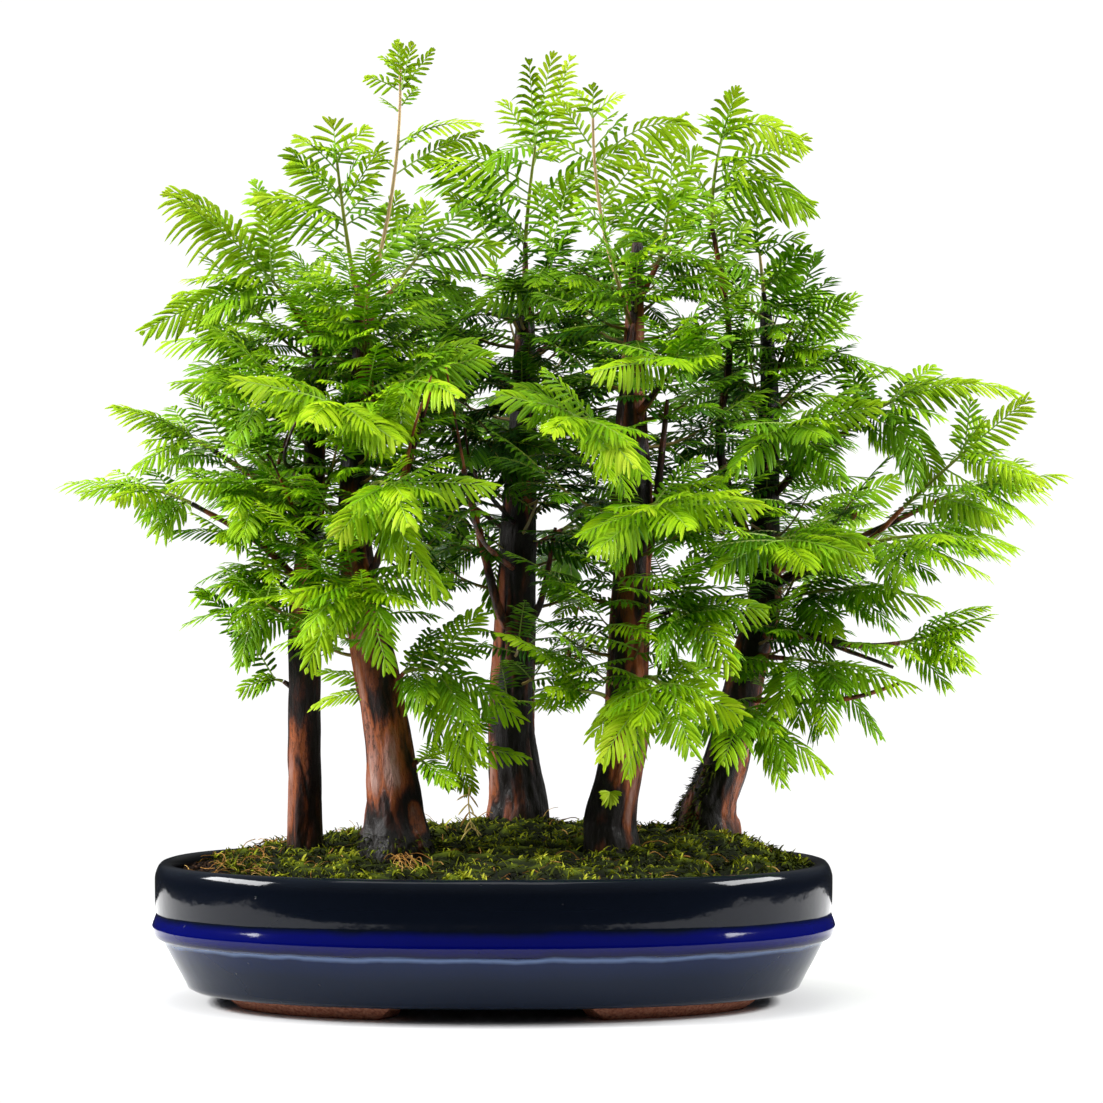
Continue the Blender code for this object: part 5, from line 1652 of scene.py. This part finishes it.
# Matt finishes whose colour follows the piece's tone: the roughness, the size of the grain in
# millimetres, and the colours.
MATT_FINISHES = {
    # Extruded plastic mesh: a dull black
    "black_drain_mesh_plastic": (0.6, 1.0, [(0.0, "#101010"), (0.5, "#1b1b1b"),
                                            (1.0, "#262626")]),
    # Damp soil: nearly black, without gloss, with paler grains
    "damp_potting_soil": (0.95, 1.4, [(0.0, "#0c0806"), (0.5, "#241710"), (1.0, "#4a3426")]),
    # The felt of old moss under the strands: painted shade darkens its hollows, its cushions dull
    # green
    "moss_mat": (1.0, 1.1, [(0.0, "#090b04"), (0.4, "#1d2407"), (0.7, "#4a560c"),
                            (1.0, "#6f7d10")]),
    # Living moss: soft yellow-green tips over a dark inside, the tips lit and the inside shaded by
    # painted light and shade
    "moss_strand": (0.75, 3.0, [(0.0, "#10140a"), (0.28, "#2b3309"), (0.5, "#59630b"),
                                (0.72, "#8f9713"), (1.0, "#bfbf3a")]),
    # Dead fibres: dry, from brown to straw
    "dead_rootlet": (0.8, 3.0, [(0.0, "#4a2f14"), (0.5, "#96692e"), (1.0, "#d0a860")]),
    # Sawn wood that has weathered: dull, from brown to pale tan
    "weathered_cut_wood": (0.85, 1.2, [(0.0, "#3b2419"), (0.5, "#7a5138"), (1.0, "#b08a66")]),
    # Dead needles: papery, from rust to straw
    "withered_needle": (0.8, 3.0, [(0.0, "#5a2f16"), (0.5, "#a8783c"), (1.0, "#d8c878")]),
}


def matt_finish(name):
    """A matt finish whose colour follows the piece's tone, with a fine grain."""
    roughness, grain, stops = MATT_FINISHES[name]
    material, tree, shader = new_material(name, stops[len(stops) // 2][1], {
        "Roughness": roughness, "Specular IOR Level": 0.15})
    tone = add_node(tree, "Attribute", attribute_name="tone")
    place = add_node(tree, "TexCoord")
    grains = add_node(tree, "TexNoise", {
        "Vector": place.outputs["Object"], "Scale": 1.0 / (grain * MM), "Detail": 3.0})
    mixed = add_node(tree, "Math", {
        0: grains.outputs["Fac"], 1: 0.4, 2: tone.outputs["Fac"]}, operation="MULTIPLY_ADD")
    level = add_node(tree, "Math", {0: mixed.outputs[0], 1: 0.2}, operation="SUBTRACT")
    colour = add_node(tree, "ValToRGB", {"Fac": level.outputs[0]}, stops)
    bump = add_node(tree, "Bump", {
        "Height": grains.outputs["Fac"], "Distance": 0.0005, "Strength": 0.5})
    set_sockets(tree, shader, {
        "Base Color": colour.outputs["Color"], "Normal": bump.outputs["Normal"]})
    return material


def needle_finish(look):
    """Soft thin needles with a faint gloss, from deep green in the shade to yellow-green tips."""
    material, tree, shader = new_material("dawn_redwood_needle", "#5a9e0c", {
        "Roughness": 0.5, "Specular IOR Level": 0.15})
    tone = add_node(tree, "Attribute", attribute_name="tone")
    place = add_node(tree, "TexCoord")
    patch = add_node(tree, "TexNoise", {
        "Vector": place.outputs["Object"], "Scale": 1.0 / (NEEDLE_PATCH * MM), "Detail": 2.0})
    mixed = add_node(tree, "Math", {
        0: patch.outputs["Fac"], 1: 0.35, 2: tone.outputs["Fac"]}, operation="MULTIPLY_ADD")
    level = add_node(tree, "Math", {0: mixed.outputs[0], 1: 0.175}, operation="SUBTRACT")
    colour = add_node(tree, "ValToRGB", {"Fac": level.outputs[0]}, [
        (0.0, "#0d2804"), (0.25, "#2c5e05"), (0.5, look.needle_colour), (0.75, "#a2ca06"),
        (1.0, "#cce038")])
    set_sockets(tree, shader, {"Base Color": colour.outputs["Color"]})
    return material


def shoot_finish():
    """Young shoots: green where they carry fronds, straw-coloured on the bare leaders."""
    material, tree, shader = new_material("young_shoot", "#8fa030", {"Roughness": 0.55})
    tone = add_node(tree, "Attribute", attribute_name="tone")
    colour = add_node(tree, "ValToRGB", {"Fac": tone.outputs["Fac"]}, [
        (0.0, "#6d4a22"), (0.35, "#7f8a22"), (0.7, "#93b83a"), (0.85, "#c8a878"),
        (1.0, "#cfae84")])
    set_sockets(tree, shader, {"Base Color": colour.outputs["Color"]})
    return material


def bark_finish(look):
    """Young bark, a little wet: pinkish and orange-brown plates, dark blotches, black cracks; its
    tone brings painted shade and light as well.
    """
    material, tree, shader = new_material("wet_redwood_bark", "#7d4630", {
        "Roughness": 0.45, "Specular IOR Level": 0.3})
    tone = add_node(tree, "Attribute", attribute_name="tone")
    place = add_node(tree, "TexCoord")
    tall = add_node(tree, "Mapping", {"Vector": place.outputs["Object"], "Scale": (1.0, 1.0, 0.3)})
    patch = add_node(tree, "TexNoise", {
        "Vector": tall.outputs["Vector"], "Detail": 4.0, "Scale": 1.0 / (BARK_PLATE * MM),
        "Roughness": 0.6})
    level = add_node(tree, "Math", {
        0: patch.outputs["Fac"], 1: 1.5, 2: -0.52}, operation="MULTIPLY_ADD")
    # The tone carries the bark's patches and its painted shade and light.
    toned = add_node(tree, "Math", {
        0: tone.outputs["Fac"], 1: 0.6, 2: level.outputs[0]}, operation="MULTIPLY_ADD")
    plates = add_node(tree, "ValToRGB", {"Fac": toned.outputs[0]}, [
        (0.14, "#140c09"), (0.3, "#3d1d12"), (0.44, "#7c3d1d"), (0.55, "#9a5228"),
        (0.7, look.bark_colour), (0.95, "#b08a7e")])
    fibre = add_node(tree, "TexNoise", {
        "Vector": tall.outputs["Vector"], "Detail": 5.0, "Scale": 1.0 / (BARK_FIBRE * MM),
        "Roughness": 0.65})
    # Short black cracks run where the fibre's noise crosses its middle, in the darker patches
    off = add_node(tree, "Math", {0: fibre.outputs["Fac"], 1: 0.5}, operation="SUBTRACT")
    away = add_node(tree, "Math", {0: off.outputs[0]}, operation="ABSOLUTE")
    crack = add_node(tree, "MapRange", {
        "Value": away.outputs[0], "From Min": 0.0, "From Max": 0.05, "To Min": 0.9, "To Max": 0.0})
    where = add_node(tree, "MapRange", {
        "Value": patch.outputs["Fac"], "From Min": 0.62, "From Max": 0.42, "To Min": 0.0,
        "To Max": 1.0})
    short = add_node(tree, "Math", {
        0: crack.outputs["Result"], 1: where.outputs["Result"]}, operation="MULTIPLY")
    cracked = add_node(tree, "Mix", {
        0: short.outputs[0], 6: plates.outputs["Color"],
        7: (*linear("#0e0907"), 1.0)}, data_type="RGBA")
    # The foot of each trunk is dark with damp, up to a ragged line
    high = add_node(tree, "SeparateXYZ", {0: place.outputs["Object"]})
    ragged = add_node(tree, "Math", {
        0: patch.outputs["Fac"], 1: 0.03, 2: high.outputs["Z"]}, operation="MULTIPLY_ADD")
    damp = add_node(tree, "MapRange", {
        "Value": ragged.outputs[0], "From Min": DAMP_FOOT[0] * MM, "From Max": DAMP_FOOT[1] * MM,
        "To Min": 0.96, "To Max": 0.0})
    foot = add_node(tree, "Mix", {
        0: damp.outputs["Result"], 6: cracked.outputs[2],
        7: (*linear("#15120d"), 1.0)}, data_type="RGBA")
    bump = add_node(tree, "Bump", {
        "Height": fibre.outputs["Fac"], "Distance": 0.002, "Strength": 0.8})
    set_sockets(tree, shader, {"Base Color": foot.outputs[2], "Normal": bump.outputs["Normal"]})
    return material


def glaze_finish(look):
    """Glossy stoneware glaze: near-black navy that breaks to cobalt where it pools on the bead."""
    material, tree, shader = new_material("navy_stoneware_glaze", look.glaze_colour, {
        "Roughness": 0.08, "IOR": 1.5, "Specular IOR Level": 0.18})
    place = add_node(tree, "TexCoord")
    parts = add_node(tree, "SeparateXYZ", {0: place.outputs["Object"]})
    wash = add_node(tree, "TexNoise", {
        "Vector": place.outputs["Object"], "Scale": 1.0 / (GLAZE_WASH * MM), "Detail": 3.0})
    wobble = add_node(tree, "Math", {
        0: wash.outputs["Fac"], 1: 0.004, 2: -0.002}, operation="MULTIPLY_ADD")
    level = add_node(tree, "Math", {0: parts.outputs["Z"], 1: wobble.outputs[0]}, operation="ADD")
    share = add_node(tree, "Math", {0: level.outputs[0], 1: POT_HEIGHT * MM}, operation="DIVIDE")
    crest = BEAD_HEIGHT / POT_HEIGHT
    colour = add_node(tree, "ValToRGB", {"Fac": share.outputs[0]}, [
        (0.12, "#091527"), (0.3, "#0b182c"), (crest - 0.125, "#0f1d3e"), (crest - 0.1, "#56688a"),
        (crest - 0.075, "#060b2c"), (crest - 0.03, look.bead_colour),
        (crest + 0.055, look.bead_colour), (crest + 0.1, look.glaze_colour), (0.93, "#080c14"),
        (1.0, "#10161f")])
    pits = add_node(tree, "TexVoronoi", {
        "Vector": place.outputs["Object"], "Scale": 1.0 / (GLAZE_PIT * MM), "Randomness": 1.0})
    pit = add_node(tree, "MapRange", {
        "Value": pits.outputs["Distance"], "From Min": 0.02, "From Max": 0.06})
    waves = add_node(tree, "TexNoise", {
        "Vector": place.outputs["Object"], "Scale": 1.0 / (GLAZE_WAVE * MM), "Detail": 3.0})
    height = add_node(tree, "Math", {
        0: waves.outputs["Fac"], 1: 0.6, 2: pit.outputs["Result"]}, operation="MULTIPLY_ADD")
    bump = add_node(tree, "Bump", {
        "Height": height.outputs[0], "Distance": 0.0003, "Strength": 0.7})
    set_sockets(tree, shader, {
        "Base Color": colour.outputs["Color"], "Normal": bump.outputs["Normal"]})
    return material


def clay_finish():
    """Unglazed red-brown clay, dry and gritty."""
    material, tree, shader = new_material("unglazed_terracotta", "#82503f", {
        "Roughness": 0.9, "Specular IOR Level": 0.2})
    place = add_node(tree, "TexCoord")
    grit = add_node(tree, "TexNoise", {
        "Vector": place.outputs["Object"], "Scale": 1.0 / (CLAY_GRIT * MM), "Detail": 4.0})
    colour = add_node(tree, "ValToRGB", {"Fac": grit.outputs["Fac"]}, [
        (0.3, "#744838"), (0.5, "#a0664f"), (0.7, "#b47c64")])
    bump = add_node(tree, "Bump", {
        "Height": grit.outputs["Fac"], "Distance": 0.0004, "Strength": 0.6})
    set_sockets(tree, shader, {
        "Base Color": colour.outputs["Color"], "Normal": bump.outputs["Normal"]})
    return material


# Settings, operators and panel


def colour_property(name, description, code):
    return bpy.props.FloatVectorProperty(name=name, description=description, subtype="COLOR",
                                         size=3, min=0.0, max=1.0, default=linear(code))


class PlantSettings(bpy.types.PropertyGroup):
    needle_width: bpy.props.FloatProperty(
        name="Needle width", description="Width of a full-grown needle in millimetres",
        default=2.0, min=0.5, max=4.0)
    needle_spacing: bpy.props.FloatProperty(
        name="Needle spacing", description="Distance between pairs of needles in millimetres",
        default=2.9, min=1.5, max=8.0)
    fullness: bpy.props.FloatProperty(
        name="Fullness",
        description="Share of the places above and below a frond that have one too",
        default=0.85, min=0.0, max=1.0, subtype="FACTOR")
    moss_strands: bpy.props.IntProperty(
        name="Moss strands", description="Number of strands on the moss carpet",
        default=12500, min=1000, max=14000)
    needle_colour: colour_property("Needle", "Middle green of the needles", "#70a604")
    bark_colour: colour_property("Bark", "Lit plates of the bark", "#955d48")


class PotSettings(bpy.types.PropertyGroup):
    glaze_colour: colour_property("Glaze", "Dark glaze of the pot's wall", "#090e18")
    bead_colour: colour_property("Bead", "Cobalt of the bead round the pot's waist", "#02064e")


@functools.cache
def stem_growth():
    """The shoots with all their fronds, grown in the order in which the solids were."""
    shoots = [Shoot(number, row) for number, row in enumerate(SPRAYS, 1)]
    thicket = Thicket()
    for number in TRUNKS:
        name = f"trunk_{number}"
        thicket.add(name, trunk_mesh(number))
        for owner, height, radius, route in BARE_BRANCHES:
            if owner == number:
                thicket.add(name, branch_room(branch_line(number, height, route), radius))
        for shoot in shoots:
            if shoot.row.trunk == number:
                thicket.add(name, branch_room(shoot.wood, branch_root_radius(shoot.row)))
    grow(thicket, shoots)
    return shoots


class BONSAI_OT_pot(bpy.types.Operator):
    """Models the glazed pot on its four clay feet, and finishes the drain screens"""
    bl_idname = "bonsai.pot"
    bl_label = "Glazed pot"

    def execute(self, context):
        build_pot(glaze_finish(context.scene.bonsai_pot), clay_finish())
        mesh_plastic = matt_finish("black_drain_mesh_plastic")
        for side in ("left", "right"):
            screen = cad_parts["drain_screen_" + side]
            screen.data.materials.clear()
            screen.data.materials.append(mesh_plastic)
        return {"FINISHED"}


class BONSAI_OT_ground(bpy.types.Operator):
    """Lays the soil, its crumbs, the moss carpet with its strands, and the dead rootlets"""
    bl_idname = "bonsai.ground"
    bl_label = "Soil and moss"

    def execute(self, context):
        earth = matt_finish("damp_potting_soil")
        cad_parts["soil"].data.materials.clear()
        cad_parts["soil"].data.materials.append(earth)
        build_soil_crumbs(earth)
        build_moss_bed(matt_finish("moss_mat"))
        build_moss_strands(context.scene.bonsai_plant, matt_finish("moss_strand"))
        build_rootlets(matt_finish("dead_rootlet"))
        return {"FINISHED"}


class BONSAI_OT_trunks(bpy.types.Operator):
    """Models each trunk with its cracked bark and its woody branches"""
    bl_idname = "bonsai.trunks"
    bl_label = "Trunks and branches"

    def execute(self, context):
        bark = bark_finish(context.scene.bonsai_plant)
        cut = matt_finish("weathered_cut_wood")
        for number in TRUNKS:
            build_trunk(number, stem_growth(), [bark, cut])
        build_bud_stubs(bark)
        return {"FINISHED"}


class BONSAI_OT_foliage(bpy.types.Operator):
    """Grows the leafy sprays: shoots, feathery fronds and their needles"""
    bl_idname = "bonsai.foliage"
    bl_label = "Leafy sprays"

    def execute(self, context):
        look = context.scene.bonsai_plant
        finishes = [needle_finish(look), shoot_finish()]
        for shoot in stem_growth():
            build_spray(shoot, look, finishes)
        for number in TRUNKS:
            build_tufts(number, look, finishes)
            build_twigs(number, look, finishes)
        build_withered(matt_finish("withered_needle"))
        return {"FINISHED"}


class BONSAI_OT_stage(bpy.types.Operator):
    """Sets the pale floor, the soft studio light and the camera at the photo's view"""
    bl_idname = "bonsai.stage"
    bl_label = "Floor, light and camera"

    def execute(self, context):
        set_floor()
        set_lights(context.scene)
        set_camera(context.scene)
        return {"FINISHED"}


class BONSAI_PT_panel(bpy.types.Panel):
    """Lists the steps that dress the bonsai"""
    bl_idname = "BONSAI_PT_panel"
    bl_label = "Forest bonsai"
    bl_space_type = "VIEW_3D"
    bl_region_type = "UI"
    bl_category = "Bonsai"

    def draw(self, context):
        for settings in (context.scene.bonsai_plant, context.scene.bonsai_pot):
            for name in settings.__annotations__:
                self.layout.prop(settings, name)
        for operator in OPERATORS:
            self.layout.operator(operator.bl_idname)


# Stage


def set_floor():
    """A plain pale floor that ends a little in front of the pot, where the dark glaze mirrors the
    dim room; it glows as painted light, more with the distance from the pot, and so fills in the
    pot's shadow away from it."""
    bpy.ops.object.select_all(action="DESELECT")
    bpy.ops.mesh.primitive_plane_add(size=1.0)
    floor = bpy.context.object
    floor.name = "floor"
    for vert in floor.data.vertices:
        vert.co.x = FLOOR_X[vert.co.x > 0.0]
        vert.co.y = FLOOR_Y[vert.co.y > 0.0]
    # Painted board: matt and nearly white
    material, tree, shader = new_material("glowing_pale_floor", (0.8, 0.8, 0.8), {
        "Roughness": 0.6, "Specular IOR Level": 0.2})
    # The distance from the pot's middle, with the pot's length drawn in to its depth
    place = add_node(tree, "TexCoord")
    round_pot = add_node(tree, "Mapping", {
        "Vector": place.outputs["Object"], "Location": (0.026, 0.0, 0.0),
        "Scale": (0.74, 1.0, 1.0)})
    away = add_node(tree, "VectorMath", {0: round_pot.outputs["Vector"]}, operation="LENGTH")
    # Painted light: the glow rises from nothing at 0.1 m to full at 0.28 m from the pot's middle.
    glow = add_node(tree, "MapRange", {
        "Value": away.outputs["Value"], "From Min": 0.1, "From Max": 0.28, "To Min": FLOOR_GLOW[0],
        "To Max": FLOOR_GLOW[1]})
    set_sockets(tree, shader, {
        "Emission Color": WHITE, "Emission Strength": glow.outputs["Result"]})
    floor.data.materials.append(material)


def add_softbox(name, place, target, width, height, power):
    """An area light that points at a place and stays out of the picture."""
    light = bpy.data.lights.new(name, "AREA")
    light.shape = "RECTANGLE"
    light.size = width
    light.size_y = height
    light.energy = power
    box = bpy.data.objects.new(name, light)
    box.location = place
    box.rotation_euler = (Vector(target) - Vector(place)).to_track_quat("-Z", "Y").to_euler()
    box.visible_camera = False
    bpy.context.scene.collection.objects.link(box)


def set_lights(scene):
    """Softboxes on both sides and overhead, and a white surround that is dim to the front."""
    for name, row in SOFTBOXES.items():
        add_softbox(name, *row)
    world = bpy.data.worlds.new("white_surround")
    scene.world = world
    world.use_nodes = True
    tree = world.node_tree
    surround = tree.nodes["Background"]
    place = add_node(tree, "TexCoord")
    parts = add_node(tree, "SeparateXYZ", {0: place.outputs["Generated"]})
    sky = add_node(tree, "MapRange", {
        "Value": parts.outputs["Z"], "From Min": 0.1, "From Max": 0.95, "To Min": 0.03,
        "To Max": 0.4})
    set_sockets(tree, surround, {"Color": WHITE, "Strength": sky.outputs["Result"]})
    backdrop = add_node(tree, "Background", {"Color": WHITE, "Strength": 1.05})
    path = add_node(tree, "LightPath")
    mix = add_node(tree, "MixShader", {
        0: path.outputs["Is Camera Ray"], 1: surround.outputs[0], 2: backdrop.outputs[0]})
    set_sockets(tree, tree.nodes["World Output"], {"Surface": mix.outputs[0]})
    scene.view_settings.view_transform = "Standard"
    scene.view_settings.look = "None"


def set_camera(scene):
    """The photo's camera: level, straight ahead, a little above the pot."""
    data = bpy.data.cameras.new("camera")
    data.sensor_width = 36.0
    data.lens = CAMERA_LENS
    camera = bpy.data.objects.new("camera", data)
    camera.location = Vector((EYE.x, -EYE_DISTANCE, EYE.z)) * MM
    camera.rotation_euler = (radians(90.0), 0.0, 0.0)
    scene.collection.objects.link(camera)
    scene.camera = camera


OPERATORS = (BONSAI_OT_pot, BONSAI_OT_ground, BONSAI_OT_trunks, BONSAI_OT_foliage,
             BONSAI_OT_stage)
CLASSES = (PlantSettings, PotSettings, *OPERATORS, BONSAI_PT_panel)


def register():
    for one in CLASSES:
        bpy.utils.register_class(one)
    bpy.types.Scene.bonsai_plant = bpy.props.PointerProperty(type=PlantSettings)
    bpy.types.Scene.bonsai_pot = bpy.props.PointerProperty(type=PotSettings)


def unregister():
    del bpy.types.Scene.bonsai_pot
    del bpy.types.Scene.bonsai_plant
    for one in reversed(CLASSES):
        bpy.utils.unregister_class(one)


def main():
    register()
    bpy.ops.bonsai.pot()
    bpy.ops.bonsai.ground()
    bpy.ops.bonsai.trunks()
    bpy.ops.bonsai.foliage()
    bpy.ops.bonsai.stage()


if __name__ == "__main__":
    main()
